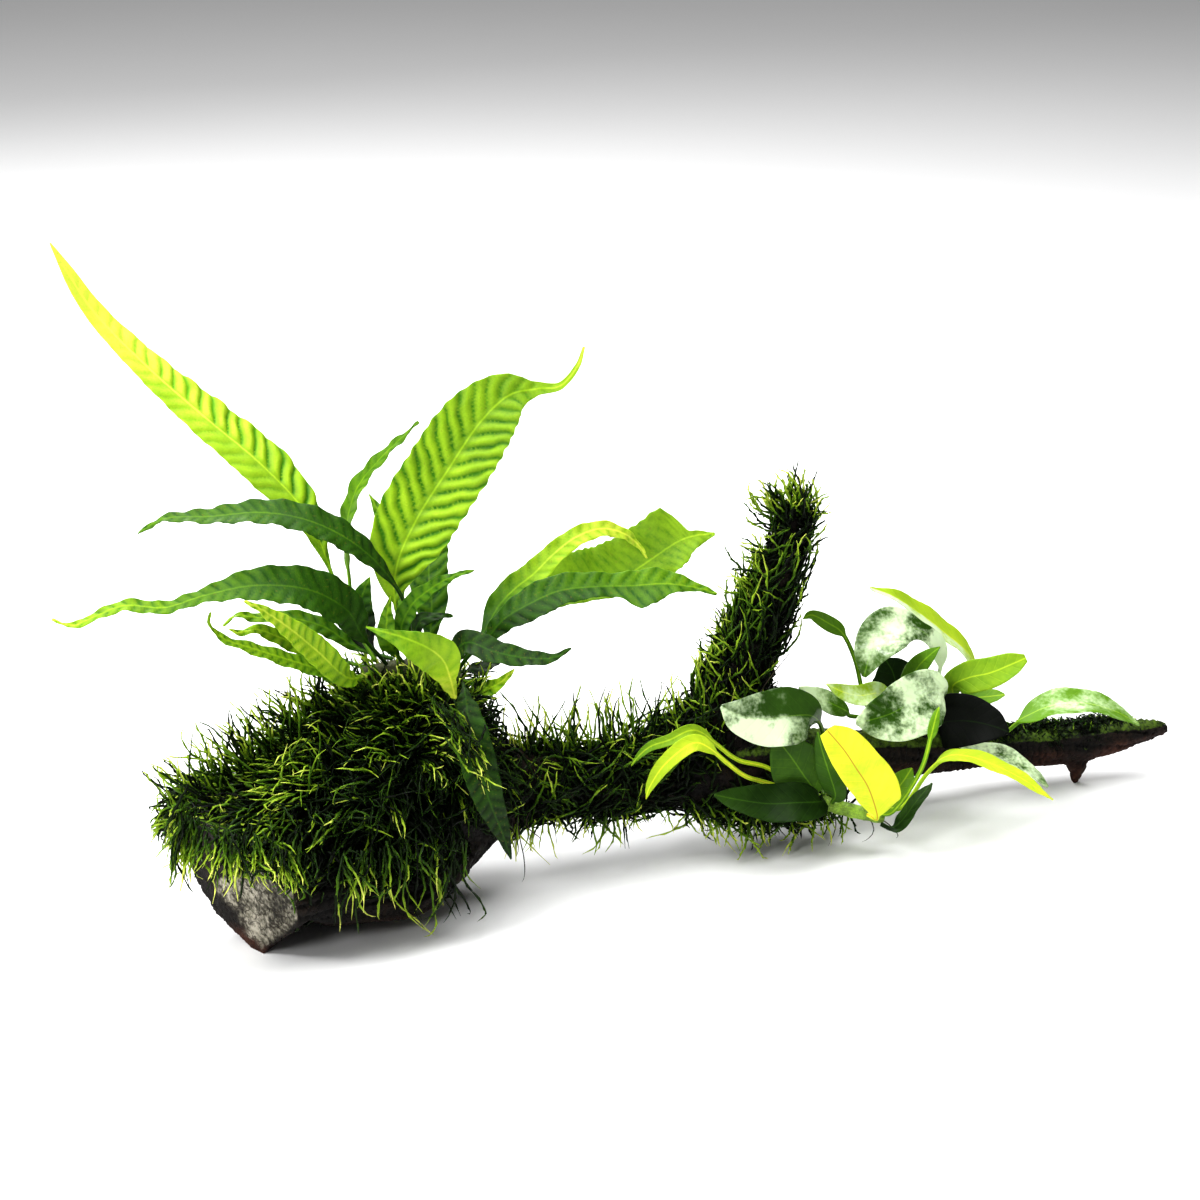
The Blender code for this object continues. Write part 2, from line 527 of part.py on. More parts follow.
FERN_FRONDS = {
    "fern_frond_tall_left": dict(
        LONG, at=0.16, width=29, turn=(-30, -38), stalk=0.2, edges=(TALL_LEFT_EDGE, TALL_LEFT_EDGE),
        rib=[(350, 618, 14), (332, 575, 20), (306, 515, 26), (262, 466, 33), (205, 418, 40),
             (148, 368, 47), (92, 310, 52), (50, 243, 50)]),
    "fern_frond_middle_left": dict(
        LONG, at=0.5, width=19, turn=(-20, -52), stalk=0.26,
        rib=[(405, 605, -18), (378, 565, -24), (345, 538, -29), (305, 520, -34), (260, 513, -38),
             (210, 517, -42), (165, 519, -45), (138, 534, -47)]),
    "fern_frond_low_left": dict(
        LONG, at=0.26, width=25, turn=(-25, -40), stalk=0.12, edges=(LOW_LEFT_EDGE, LOW_LEFT_EDGE),
        rib=[(362, 636, -26), (346, 610, -36), (308, 590, -46), (255, 586, -56), (205, 596, -64),
             (165, 608, -68), (125, 606, -72), (95, 617, -76), (72, 626, -80), (52, 619, -82)]),
    "fern_frond_front_left": dict(
        SHORT, at=0.12, width=15, turn=(-15, -25), stalk=0.12,
        rib=[(348, 678, -44), (318, 652, -62), (290, 629, -80), (262, 610, -95), (244, 601, -103)]),
    "fern_frond_lowest_left": dict(
        LONG, at=0.02, width=9, turn=(-20, -30), stalk=0.1,
        rib=[(346, 683, -30), (322, 671, -42), (285, 659, -52), (250, 648, -58), (224, 639, -61),
             (210, 625, -62), (210, 612, -60)]),
    "fern_frond_back_left": dict(
        LONG, at=0.34, width=11, turn=(-20, -45), stalk=0.14,
        rib=[(356, 648, 6), (325, 628, 4), (293, 619, -2), (258, 618, -12), (236, 616, -18),
             (223, 626, -22)]),
    "fern_frond_back_left_low": dict(
        LONG, at=0.08, width=11, turn=(-20, -30), stalk=0.14,
        rib=[(346, 662, 12), (315, 652, 10), (285, 640, 2), (258, 630, -8), (240, 633, -14),
             (228, 629, -16)]),
    "fern_frond_thin_upright": dict(
        SHORT, at=0.42, width=16, turn=(60, 55), stalk=0.4,
        rib=[(358, 612, 30), (349, 575, 36), (347, 530, 40), (357, 490, 44), (378, 462, 47),
             (400, 440, 48), (419, 422, 48)]),
    "fern_frond_tall_right": dict(
        LONG, at=0.6, width=43, turn=(0, 5), stalk=0.18, edges=(TAILED_EDGE, TAILED_EDGE),
        rib=[(397, 612, -10), (397, 566, -6), (417, 519, 0), (448, 470, 6), (479, 424, 11),
             (508, 396, 15), (536, 389, 18), (560, 386, 17), (577, 367, 14), (584, 347, 10)]),
    "fern_frond_back_curled": dict(
        SHORT, at=0.62, width=14, turn=(20, 10), stalk=0.3,
        rib=[(400, 606, 34), (394, 556, 52), (383, 520, 66), (369, 494, 74)]),
    "fern_frond_back_right": dict(
        SHORT, at=0.76, width=22, turn=(12, 5), stalk=0.16,
        rib=[(431, 640, 26), (432, 605, 34), (429, 570, 44), (433, 535, 55), (447, 503, 66),
             (463, 482, 74)]),
    "fern_frond_small_right": dict(
        SHORT, at=0.58, width=11, turn=(10, 30), stalk=0.15, fold=0.4,
        rib=[(402, 634, -22), (411, 607, -30), (427, 592, -36), (448, 579, -42), (474, 570, -46)]),
    "fern_frond_young_inner": dict(
        SHORT, at=0.42, width=11, turn=(0, 0), stalk=0.15,
        rib=[(388, 640, -26), (387, 618, -32), (390, 597, -36)]),
    "fern_frond_drooping_front": dict(
        LONG, at=0.86, width=23, turn=(0, 0), stalk=0.3, edges=(DROOPING_LOWER_EDGE, DROOPING_UPPER_EDGE),
        rib=[(452, 684, -20), (455, 697, -43), (450, 677, -57), (443, 660, -64), (428, 648, -70),
             (405, 638, -72), (385, 632, -71), (366, 627, -68)]),
    "fern_frond_dark_right": dict(
        LONG, at=0.82, width=15, turn=(30, 25), stalk=0.12,
        rib=[(450, 660, -22), (467, 643, -36), (494, 652, -46), (524, 658, -52), (553, 658, -58),
             (571, 648, -60)]),
    "fern_frond_short_right": dict(
        SHORT, at=0.7, width=9, turn=(20, 40), stalk=0.2,
        rib=[(417, 638, 12), (420, 622, 14), (434, 617, 15), (453, 616, 16)]),
    "fern_frond_low_right": dict(
        SHORT, at=0.99, width=9, turn=(20, 20), stalk=0.08,
        rib=[(476, 683, -5), (486, 688, -13), (497, 685, -18), (507, 677, -19), (514, 669, -19)]),
    "fern_frond_shaded_right": dict(
        SHORT, at=0.97, width=10, turn=(40, 40), stalk=0.15,
        rib=[(470, 671, 12), (486, 667, 14), (502, 660, 15)]),
    "fern_frond_arching_right": dict(
        LOBED, at=0.72, width=15, turn=(5, 25), stalk=0.2, edges=(ARCHING_EDGE, ARCHING_EDGE),
        rib=[(464, 656, -4), (484, 632, 0), (499, 606, 5), (516, 588, 10), (534, 574, 14),
             (553, 555, 21), (575, 538, 28), (600, 529, 36), (622, 533, 42), (637, 544, 47),
             (647, 558, 50)]),
    "fern_frond_broad_right": dict(
        FORKED, at=0.86, width=49, turn=(20, 14), stalk=0.32, edges=(FORKED_UPPER_EDGE, FORKED_LOWER_EDGE),
        rib=[(470, 650, 24), (498, 630, 34), (536, 608, 46), (580, 595, 55), (605, 587, 60),
             (628, 575, 65), (652, 559, 69), (671, 546, 72), (684, 539, 74), (699, 535, 75),
             (715, 534, 76)]),
    "fern_frond_lower_right": dict(
        LOBED, at=0.9, width=29, turn=(25, 20), stalk=0.15, edges=(LOBED_UPPER_EDGE, LOBED_LOWER_EDGE),
        rib=[(468, 657, -10), (490, 636, -14), (505, 619, -15), (530, 604, -15), (560, 591, -13),
             (595, 587, -11), (631, 586, -9), (666, 584, -8), (695, 588, -7), (717, 594, -7)]),
    "fern_frond_on_moss": dict(
        SHORT, at=0.97, width=19, turn=(20, 0), stalk=0.25,
        rib=[(464, 688, -36), (469, 722, -62), (478, 762, -72), (489, 800, -72), (502, 832, -66),
             (511, 859, -62)]),
    "fern_frond_dark_inner": dict(
        SHORT, at=0.26, width=17, turn=(10, 0), stalk=0.2,
        rib=[(366, 640, 16), (360, 618, 22), (362, 597, 26), (370, 577, 28)]),
}

ANUBIAS = {"stalk_width": PETIOLE_WIDTH, "edges": (OVAL, OVAL), "fold": 0.2}
FRONT, BACK = {"from": "anubias_rhizome_front"}, {"from": "anubias_rhizome_back"}
ANUBIAS_LEAVES = {
    "anubias_leaf_glossy": dict(
        FRONT | LONG, at=0.34, width=33, turn=(0, -12), stalk=0.44,
        rib=[(823, 768, 56), (824, 737, 50), (814, 717, 42), (790, 716, 34), (765, 719, 28),
             (740, 716, 24), (721, 706, 22)]),
    "anubias_leaf_under_glossy": dict(
        FRONT | SHORT, at=0.23, width=32, turn=(10, 10), stalk=0.12,
        rib=[(814, 790, 46), (803, 774, 42), (789, 754, 39), (775, 737, 38)]),
    "anubias_leaf_narrow_dark": dict(
        FRONT | SHORT, at=0.46, width=15, turn=(30, 30), stalk=0.1,
        rib=[(836, 794, 40), (830, 774, 34), (823, 752, 33), (818, 732, 35)]),
    "anubias_leaf_bottom": dict(
        FRONT | SHORT, at=0.3, width=24, turn=(-20, -30), stalk=0.08,
        rib=[(820, 802, 38), (797, 803, 30), (768, 804, 27), (738, 800, 24), (714, 795, 22)]),
    "anubias_leaf_yellow": dict(
        FRONT | SHORT, at=0.84, width=33, turn=(5, 0), stalk=0.16,
        edges=(YELLOW_LEFT_EDGE, YELLOW_RIGHT_EDGE),
        rib=[(877, 818, 38), (874, 803, 32), (867, 785, 28), (856, 768, 24), (844, 750, 22),
             (827, 730, 21)]),
    "anubias_leaf_spear": dict(
        FRONT | LONG, at=0.95, width=6, turn=(0, 0), stalk=0.74,
        rib=[(892, 812, 40), (908, 792, 40), (923, 765, 44), (931, 736, 50), (936, 716, 55),
             (939, 707, 57)]),
    "anubias_leaf_low_right": dict(
        FRONT | LONG, at=1.0, width=17, turn=(62, 62), stalk=0.36,
        rib=[(904, 806, 54), (927, 774, 60), (946, 758, 63), (967, 757, 63), (997, 767, 60),
             (1026, 782, 56), (1053, 800, 52)]),
    "anubias_leaf_hanging": dict(
        FRONT | SHORT, at=0.98, width=14, turn=(60, 60), stalk=0.12,
        rib=[(893, 829, 44), (904, 820, 42), (914, 806, 44), (924, 793, 48), (932, 783, 52)]),
    "anubias_leaf_behind_yellow": dict(
        FRONT | SHORT, at=0.86, width=17, turn=(20, 20), stalk=0.15,
        rib=[(884, 804, 62), (893, 794, 68), (903, 782, 72), (912, 768, 74)]),
    "anubias_leaf_curled_long": dict(
        FRONT | LONG, at=0.04, width=10, turn=(0, -20), stalk=0.52, fold=0.5,
        rib=[(764, 782, 42), (745, 776, 34), (727, 763, 26), (709, 748, 20), (695, 743, 17),
             (679, 752, 14), (662, 768, 12), (650, 787, 11), (646, 799, 11)]),
    "anubias_leaf_curled_short": dict(
        FRONT | LONG, at=0.12, width=7, turn=(0, -20), stalk=0.54, fold=0.5,
        rib=[(768, 768, 50), (738, 760, 42), (717, 745, 34), (702, 733, 29), (689, 731, 25),
             (670, 740, 22), (652, 746, 19), (640, 755, 17), (631, 766, 16)]),
    "anubias_leaf_veined": dict(
        BACK | LONG, at=0.53, width=40, turn=(0, 0), stalk=0.42, edges=(OVAL, NARROW_OVAL),
        rib=[(936, 702, 100), (945, 690, 84), (930, 692, 74), (910, 703, 67), (892, 713, 62),
             (874, 719, 58), (856, 723, 56)]),
    "anubias_leaf_shaded": dict(
        BACK | SHORT, at=0.86, width=32, turn=(0, 10), stalk=0.22,
        rib=[(944, 734, 116), (934, 726, 107), (945, 722, 100), (967, 721, 94), (989, 725, 90),
             (1009, 732, 87)]),
    "anubias_leaf_arching": dict(
        BACK | LONG, at=0.5, width=28, turn=(-30, -20), stalk=0.32, edges=(SPOON_EDGE, SPOON_EDGE),
        rib=[(930, 690, 112), (940, 668, 106), (938, 647, 101), (922, 632, 97), (903, 627, 93),
             (886, 634, 89), (872, 651, 85), (864, 677, 82)]),
    "anubias_leaf_upper_right": dict(
        BACK | LONG, at=0.84, width=25, turn=(-60, -66), stalk=0.3,
        rib=[(962, 700, 140), (975, 678, 140), (968, 655, 136), (945, 634, 130), (918, 613, 122),
             (893, 597, 115), (870, 588, 111)]),
    "anubias_leaf_light_right": dict(
        BACK | SHORT, at=0.94, width=19, turn=(10, 10), stalk=0.24, edges=(BLUNT_EDGE, BLUNT_EDGE),
        rib=[(955, 702, 120), (953, 686, 114), (968, 678, 111), (990, 673, 109), (1010, 665, 108),
             (1026, 658, 108)]),
    "anubias_leaf_light_under": dict(
        BACK | SHORT, at=0.97, width=15, turn=(45, 45), stalk=0.2,
        rib=[(962, 705, 132), (974, 699, 131), (990, 697, 129), (1005, 695, 128)]),
    "anubias_leaf_pale_right": dict(
        BACK | LONG, at=1.0, width=30, turn=(60, 64), stalk=0.36,
        rib=[(970, 728, 118), (988, 736, 112), (1006, 732, 108), (1022, 720, 106), (1050, 707, 105),
             (1085, 704, 105), (1115, 712, 106), (1139, 725, 107)]),
    "anubias_leaf_behind_low_right": dict(
        BACK | SHORT, at=0.96, width=16, turn=(40, 55), stalk=0.3,
        rib=[(953, 742, 109), (974, 750, 98), (1000, 755, 91), (1024, 767, 87), (1048, 787, 80)]),
    "anubias_leaf_light_left": dict(
        BACK | SHORT, at=0.22, width=14, turn=(-25, -25), stalk=0.2,
        rib=[(884, 704, 96), (878, 694, 88), (860, 696, 81), (842, 692, 77), (826, 684, 75)]),
    "anubias_leaf_brown_bud": dict(
        BACK | SHORT, at=0.08, width=9, turn=(0, 0), stalk=0.62,
        rib=[(862, 690, 108), (855, 660, 108), (843, 634, 105), (828, 623, 102), (812, 615, 100),
             (803, 619, 98)]),
    "anubias_leaf_dark_behind": dict(
        BACK | SHORT, at=0.34, width=28, turn=(20, 20), stalk=0.24,
        rib=[(893, 700, 122), (896, 686, 124), (893, 672, 126), (885, 658, 128)]),
    "anubias_leaf_small_middle": dict(
        BACK | SHORT, at=0.4, width=13, turn=(20, 20), stalk=0.3,
        rib=[(910, 694, 108), (911, 680, 98), (919, 666, 90), (929, 656, 86), (940, 647, 84)]),
    "anubias_leaf_pale_left": dict(
        BACK | SHORT, at=0.0, width=14, turn=(-30, -30), stalk=0.3,
        rib=[(850, 716, 96), (845, 711, 92), (829, 703, 88), (812, 695, 84), (799, 687, 82)]),
}


def main():
    make_driftwood()
    make_rhizomes()
    make_moss()
    for name, leaf in FERN_FRONDS.items():
        make_leaf(name, FROND | leaf, "fern_frond")
    for name, leaf in ANUBIAS_LEAVES.items():
        make_leaf(name, ANUBIAS | leaf, "anubias_leaf")


main()
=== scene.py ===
# %% [markdown]
# # Java fern on driftwood
# A piece of driftwood carries a java fern, two anubias plants and carpets of java moss. A plain model already
# fixes where each of them is and how large it is. This lesson gives every piece its real surface: ribbed
# fronds, glossy leaves, fissured bark and thousands of feathery moss stems. We load the plain model first.

# %% Load the plain model
import json
import math

import bpy
import numpy as np
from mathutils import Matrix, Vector, noise
from mathutils.bvhtree import BVHTree

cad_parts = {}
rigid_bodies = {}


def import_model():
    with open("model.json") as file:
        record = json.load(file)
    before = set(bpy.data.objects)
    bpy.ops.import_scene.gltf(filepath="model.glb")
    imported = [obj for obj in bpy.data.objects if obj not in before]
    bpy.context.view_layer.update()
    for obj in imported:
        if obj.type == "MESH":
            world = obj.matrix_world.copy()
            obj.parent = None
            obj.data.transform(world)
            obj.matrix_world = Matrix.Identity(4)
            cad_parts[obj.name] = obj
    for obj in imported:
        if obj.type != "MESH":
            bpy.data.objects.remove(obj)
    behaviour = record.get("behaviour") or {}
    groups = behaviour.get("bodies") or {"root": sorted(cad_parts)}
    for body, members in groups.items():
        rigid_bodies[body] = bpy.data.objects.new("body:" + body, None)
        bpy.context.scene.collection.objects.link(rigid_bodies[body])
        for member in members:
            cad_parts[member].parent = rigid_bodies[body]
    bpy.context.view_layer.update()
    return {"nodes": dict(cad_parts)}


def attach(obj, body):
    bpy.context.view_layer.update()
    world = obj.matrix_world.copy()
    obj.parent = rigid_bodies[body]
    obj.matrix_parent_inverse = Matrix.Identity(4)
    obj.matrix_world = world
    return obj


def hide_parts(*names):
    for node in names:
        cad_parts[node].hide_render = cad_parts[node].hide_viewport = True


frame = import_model()
print("plain pieces:", len(frame["nodes"]))

# %% [markdown]
# ## Sighting on a photograph
# Every leaf was placed by reading a few pixels on a square photograph and judging how far back each point
# lies. The helper below turns such a reading into a point in millimetres, by following the camera's ray to
# that depth. The camera at the end of the lesson stands at the same place, so pixels and points agree.

# %% Turn pixels into points
MM = 0.001
PHOTO_SIDE = 1200
PIXEL_MM = 0.55
VIEW_DISTANCE = 1800.0
VIEW_ELEVATION = math.radians(20)
AIM = np.array([127.0, 40.0, 158.4])
TO_VIEWER = np.array([0.0, -math.cos(VIEW_ELEVATION), math.sin(VIEW_ELEVATION)])
VIEW_UP = np.array([0.0, math.sin(VIEW_ELEVATION), math.cos(VIEW_ELEVATION)])
EYE = AIM + TO_VIEWER * VIEW_DISTANCE


def spot(px, py, depth):
    """The point in millimetres that is seen at a pixel, at a depth along +Y."""
    slope = PIXEL_MM / VIEW_DISTANCE
    ray = VIEW_UP * ((PHOTO_SIDE / 2 - py) * slope) - TO_VIEWER
    ray = ray + np.array([(px - PHOTO_SIDE / 2) * slope, 0, 0])
    return EYE + ray * ((depth - EYE[1]) / ray[1])


print("the eye stands at", EYE.round(1), "mm")

# %% [markdown]
# ## Smooth curves through a few points
# A rib or a stalk is given by six to ten points. A Catmull-Rom curve passes through all of them without
# corners. We sample it at even distances, so that the mesh has cells of one length from the stalk to the tip.

# %% Curves
def curve(points, t):
    """Places on a smooth curve through points, for each t from 0 to 1."""
    last = len(points) - 1
    at = np.clip(t, 0, 1) * last
    i = np.minimum(at.astype(int), last - 1)
    f = (at - i)[:, None]
    padded = np.vstack([points[0] * 2 - points[1], points, points[-1] * 2 - points[-2]])
    before, a, b, after = padded[i], padded[i + 1], padded[i + 2], padded[i + 3]
    return 0.5 * (2 * a + (b - before) * f + (2 * before - 5 * a + 4 * b - after) * f ** 2
                  + (3 * a - before - 3 * b + after) * f ** 3)


def unit(v):
    return v / np.maximum(np.linalg.norm(v, axis=-1, keepdims=True), 1e-9)


def even_places(points, count):
    """Values of t at even distances along the curve, and its length."""
    t = np.linspace(0, 1, 400)
    steps = np.linalg.norm(np.diff(curve(points, t), axis=0), axis=1)
    length = np.concatenate([[0], np.cumsum(steps)])
    return np.interp(np.linspace(0, length[-1], count), length, t), length[-1]


def smoothstep(low, high, value):
    x = np.clip((value - low) / (high - low), 0, 1)
    return x * x * (3 - 2 * x)


print("curves ready")

# %% [markdown]
# ## From arrays to a mesh
# Leaves and moss have many repeated parts, so we compute their points as arrays and hand them to Blender at
# once. Each point may also carry marks, such as how far it lies along its leaf. The materials read these
# marks to place veins and colours, which keeps the pattern fixed to the leaf from every side.

# %% Make a piece from arrays
def volume_of(points, faces):
    """The signed volume inside the faces: it is negative where they face inwards."""
    total = 0.0
    for k in range(1, faces.shape[1] - 1):
        a, b, c = points[faces[:, 0]], points[faces[:, k]], points[faces[:, k + 1]]
        total += float(np.einsum("ij,ij->i", a, np.cross(b, c)).sum())
    return total


def piece_from(name, points, faces, material, marks, caps=()):
    """Links a piece with points in millimetres; marks are one number a point, caps are end polygons."""
    if volume_of(points - points.mean(axis=0), faces) < 0:
        faces = faces[:, ::-1]
        caps = [cap[::-1] for cap in caps]
    mesh = bpy.data.meshes.new(name)
    mesh.from_pydata((points * MM).tolist(), [], faces.tolist() + [list(cap) for cap in caps])
    for mark, values in marks.items():
        layer = mesh.attributes.new(mark, "FLOAT", "POINT")
        layer.data.foreach_set("value", np.asarray(values, dtype=np.float32))
    mesh.materials.append(material)
    mesh.shade_smooth()
    obj = bpy.data.objects.new(name, mesh)
    bpy.context.scene.collection.objects.link(obj)
    return obj


def keep(piece, slot, *nodes):
    """Fixes a piece to the body and lets it stand for plain nodes."""
    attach(piece, "root")
    if nodes:
        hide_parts(*nodes)
    return piece


def ring_faces(rows, around):
    """Quads that join rows of a tube, each row having the same number of points."""
    r, j = np.meshgrid(np.arange(rows - 1), np.arange(around), indexing="ij")
    n = (j + 1) % around
    this, following = r * around, (r + 1) * around
    return np.stack([this + j, this + n, following + n, following + j], -1).reshape(-1, 4)


print("mesh helpers ready")

# %% [markdown]
# ## Shader helpers
# A material is a small graph. Writing it as nested calls keeps the graph readable: each call adds one node,
# feeds its inputs and gives back the output that the next node needs.

# %% Node helpers
def add(tree, kind, *ordered, out=0, **named):
    """Adds a node. Inputs are numbers or sockets, by order or by name; other names are its settings."""
    made = tree.nodes.new("ShaderNode" + kind)
    fed = []
    for name, value in named.items():
        label = name.replace("_", " ")
        if label in made.inputs:
            fed.append((made.inputs[label], value))
        else:
            setattr(made, name, value)
    for socket, value in list(zip(made.inputs, ordered)) + fed:
        if isinstance(value, bpy.types.NodeSocket):
            tree.links.new(value, socket)
        elif value is not None:
            socket.default_value = value
    return made.outputs[out]


def maths(tree, operation, *values):
    return add(tree, "Math", *values, operation=operation)


def mix(tree, factor, a, b, blend="MIX"):
    """Mixes two colours."""
    made = tree.nodes.new("ShaderNodeMix")
    made.data_type, made.blend_type = "RGBA", blend
    for socket, value in zip((made.inputs[0], made.inputs[6], made.inputs[7]), (factor, a, b)):
        if isinstance(value, bpy.types.NodeSocket):
            tree.links.new(value, socket)
        else:
            socket.default_value = value if isinstance(value, float) else (*value, 1)
    return made.outputs[2]


def ramp(tree, factor, *stops):
    """A colour ramp from (place, colour) stops."""
    made = tree.nodes.new("ShaderNodeValToRGB")
    scale = made.color_ramp
    while len(scale.elements) < len(stops):
        scale.elements.new(1)
    for element, (place, colour) in zip(scale.elements, stops):
        element.position, element.color = place, (*colour, 1)
    tree.links.new(factor, made.inputs[0])
    return made.outputs[0]


def between(tree, value, low, high):
    """0 below low and 1 above high, smooth in between."""
    return add(tree, "MapRange", value, low, high, 0.0, 1.0, interpolation_type="SMOOTHSTEP")


def place_in(tree):
    """The place on the piece, in its own coordinates."""
    return add(tree, "TexCoord", out=3)


def mark_of(tree, name):
    """The number that each point carries under this name."""
    return add(tree, "Attribute", attribute_name=name, out=2)


def new_finish(name):
    """A new material, with its tree and its Principled shader."""
    material = bpy.data.materials.new(name)
    material.use_nodes = True
    tree = material.node_tree
    return material, tree, tree.nodes["Principled BSDF"]


def into(tree, shader, **sockets):
    """Feeds the shader's inputs with sockets, or sets them."""
    for name, value in sockets.items():
        socket = shader.inputs[name.replace("_", " ")]
        if isinstance(value, bpy.types.NodeSocket):
            tree.links.new(value, socket)
        else:
            socket.default_value = value


print("shader helpers ready")

# %% [markdown]
# ## Shared effects
# Three effects return in several materials, so each is a node group with named inputs and outputs. Mottling
# is the blotchy change of tone that anything grown shows, at two sizes. Leaf veins are lines that leave the
# midrib at a slant and repeat along the leaf. Fissures are the thin dark cracks of bark and dry wood.

# %% A group with named sockets
def new_group(name, inputs, outputs):
    """A node group; inputs are names with their default numbers, or None for a vector."""
    group = bpy.data.node_groups.new(name, "ShaderNodeTree")
    for label, default in inputs.items():
        kind = "NodeSocketVector" if default is None else "NodeSocketFloat"
        socket = group.interface.new_socket(label, in_out="INPUT", socket_type=kind)
        if default is not None:
            socket.default_value = default
    for label in outputs:
        group.interface.new_socket(label, in_out="OUTPUT", socket_type="NodeSocketFloat")
    entry, leave = group.nodes.new("NodeGroupInput"), group.nodes.new("NodeGroupOutput")
    return group, entry.outputs, leave.inputs


def use(tree, group, out, **inputs):
    """Places a group in a material and gives back its named outputs."""
    made = tree.nodes.new("ShaderNodeGroup")
    made.node_tree = group
    for name, value in inputs.items():
        socket = made.inputs[name.replace("_", " ")]
        if isinstance(value, bpy.types.NodeSocket):
            tree.links.new(value, socket)
        else:
            socket.default_value = value
    found = [made.outputs[label] for label in out.split(", ")]
    return found[0] if len(found) == 1 else found


# %% Mottling
MOTTLING, given, told = new_group(
    "mottling", {"Place": None, "Blotch Scale": 60.0, "Speck Scale": 400.0, "Specks": 0.4},
    ("Tone", "Specks"))
blotch = add(MOTTLING, "TexNoise", Vector=given["Place"], Scale=given["Blotch Scale"], Detail=4.0)
speck = add(MOTTLING, "TexNoise", Vector=given["Place"], Scale=given["Speck Scale"], Detail=2.0)
both = maths(MOTTLING, "MULTIPLY_ADD", maths(MOTTLING, "SUBTRACT", speck, 0.5), given["Specks"],
             maths(MOTTLING, "SUBTRACT", blotch, 0.5))
MOTTLING.links.new(both, told["Tone"])
MOTTLING.links.new(between(MOTTLING, speck, 0.62, 0.72), told["Specks"])
print("mottling:", len(MOTTLING.nodes), "nodes")

# %% Leaf veins
VEINS, given, told = new_group(
    "leaf veins", {"Along": 0.0, "Across": 0.0, "Spacing": 8.0, "Slant": 0.7, "Sharpness": 0.8, "Rib": 0.8},
    ("Side Veins", "Midrib"))
reach = maths(VEINS, "ABSOLUTE", given["Across"])
right_side = maths(VEINS, "GREATER_THAN", given["Across"], 0.0)
run = maths(VEINS, "SUBTRACT", given["Along"], maths(VEINS, "MULTIPLY", reach, given["Slant"]))
passed = maths(VEINS, "DIVIDE", run, given["Spacing"])
count = maths(VEINS, "ADD", passed, maths(VEINS, "MULTIPLY", right_side, 0.5))
off_vein = maths(VEINS, "ABSOLUTE", maths(VEINS, "SUBTRACT", maths(VEINS, "FRACT", count), 0.5))
off_vein = maths(VEINS, "MULTIPLY", off_vein, 2.0)
VEINS.links.new(between(VEINS, off_vein, given["Sharpness"], 1.0), told["Side Veins"])
VEINS.links.new(between(VEINS, reach, given["Rib"], 0.0), told["Midrib"])
print("leaf veins:", len(VEINS.nodes), "nodes")

# %% Fissures
FISSURES, given, told = new_group("fissures", {"Place": None, "Scale": 150.0, "Width": 0.08},
                                  ("Cracks", "Grain"))
bent = add(FISSURES, "TexNoise", Vector=given["Place"], Scale=given["Scale"], Detail=5.0, out=1)
place = add(FISSURES, "MixRGB", 0.02, given["Place"], bent)
cells = add(FISSURES, "TexVoronoi", Vector=place, Scale=given["Scale"], feature="DISTANCE_TO_EDGE")
FISSURES.links.new(between(FISSURES, cells, given["Width"], 0.0), told["Cracks"])
fine = add(FISSURES, "TexNoise", Vector=given["Place"],
           Scale=maths(FISSURES, "MULTIPLY", given["Scale"], 3.0), Detail=6.0)
FISSURES.links.new(fine, told["Grain"])
print("fissures:", len(FISSURES.nodes), "nodes")

# %% [markdown]
# ## The fern's finish
# A java fern's frond is leathery. Its midrib is pale, and the blade swells into pillows between sunken side
# veins; painted shade darkens the valleys and painted light brightens the crests. Young fronds and tips are
# yellow-green and let light through; old ones are deep green, with small brown specks. One material serves
# all
# fronds: the mark tone runs from 0 for the darkest to 1 for the palest.

# %% Frond material
LEAF_LIGHT = (0.6, 1.0, 0.15)
FROND_FINISH, tree, shader = new_finish("fern_frond_skin")
here = place_in(tree)
blotches, brown = use(tree, MOTTLING, "Tone, Specks", Place=here, Blotch_Scale=70.0, Speck_Scale=700.0,
                      Specks=0.5)
midrib = use(tree, VEINS, "Midrib", Along=mark_of(tree, "along"), Across=mark_of(tree, "across"), Rib=0.9)
# Painted shade and light: raised lightens the crests of the pillows, and the valleys are multiplied to a
# darker, bluer green.
raised = mark_of(tree, "raised")
valleys = between(tree, raised, 0.02, -0.36)
tone = maths(tree, "MULTIPLY_ADD", blotches, 0.22, mark_of(tree, "tone"))
tone = maths(tree, "MULTIPLY_ADD", raised, 0.24, tone)
tone = maths(tree, "MULTIPLY_ADD", midrib, 0.12, tone)
green = ramp(tree, tone, (0.0, (0.001, 0.0035, 0.0005)), (0.2, (0.007, 0.024, 0.0015)),
             (0.4, (0.026, 0.084, 0.003)), (0.6, (0.09, 0.2, 0.006)), (0.8, (0.27, 0.44, 0.015)),
             (1.0, (0.68, 0.76, 0.08)))
green = mix(tree, maths(tree, "MULTIPLY", valleys, 0.8), green, (0.32, 0.78, 0.34), blend="MULTIPLY")
worn = mix(tree, maths(tree, "MULTIPLY", brown, 0.35), green, (0.13, 0.1, 0.015))
net = add(tree, "TexVoronoi", Vector=here, Scale=900.0, feature="DISTANCE_TO_EDGE")
height = maths(tree, "ADD", maths(tree, "MULTIPLY", net, 0.6), maths(tree, "MULTIPLY", valleys, -0.8))
bump = add(tree, "Bump", Strength=0.35, Distance=0.0006, Height=height)
dullness = maths(tree, "MULTIPLY_ADD", mark_of(tree, "gloss"), -0.5, 0.65)
into(tree, shader, Base_Color=worn, Roughness=maths(tree, "MULTIPLY_ADD", blotches, 0.4, dullness),
     Normal=bump, Specular_IOR_Level=0.15, Subsurface_Weight=0.2, Subsurface_Radius=LEAF_LIGHT,
     Subsurface_Scale=0.0008)
print("frond finish:", len(tree.nodes), "nodes")

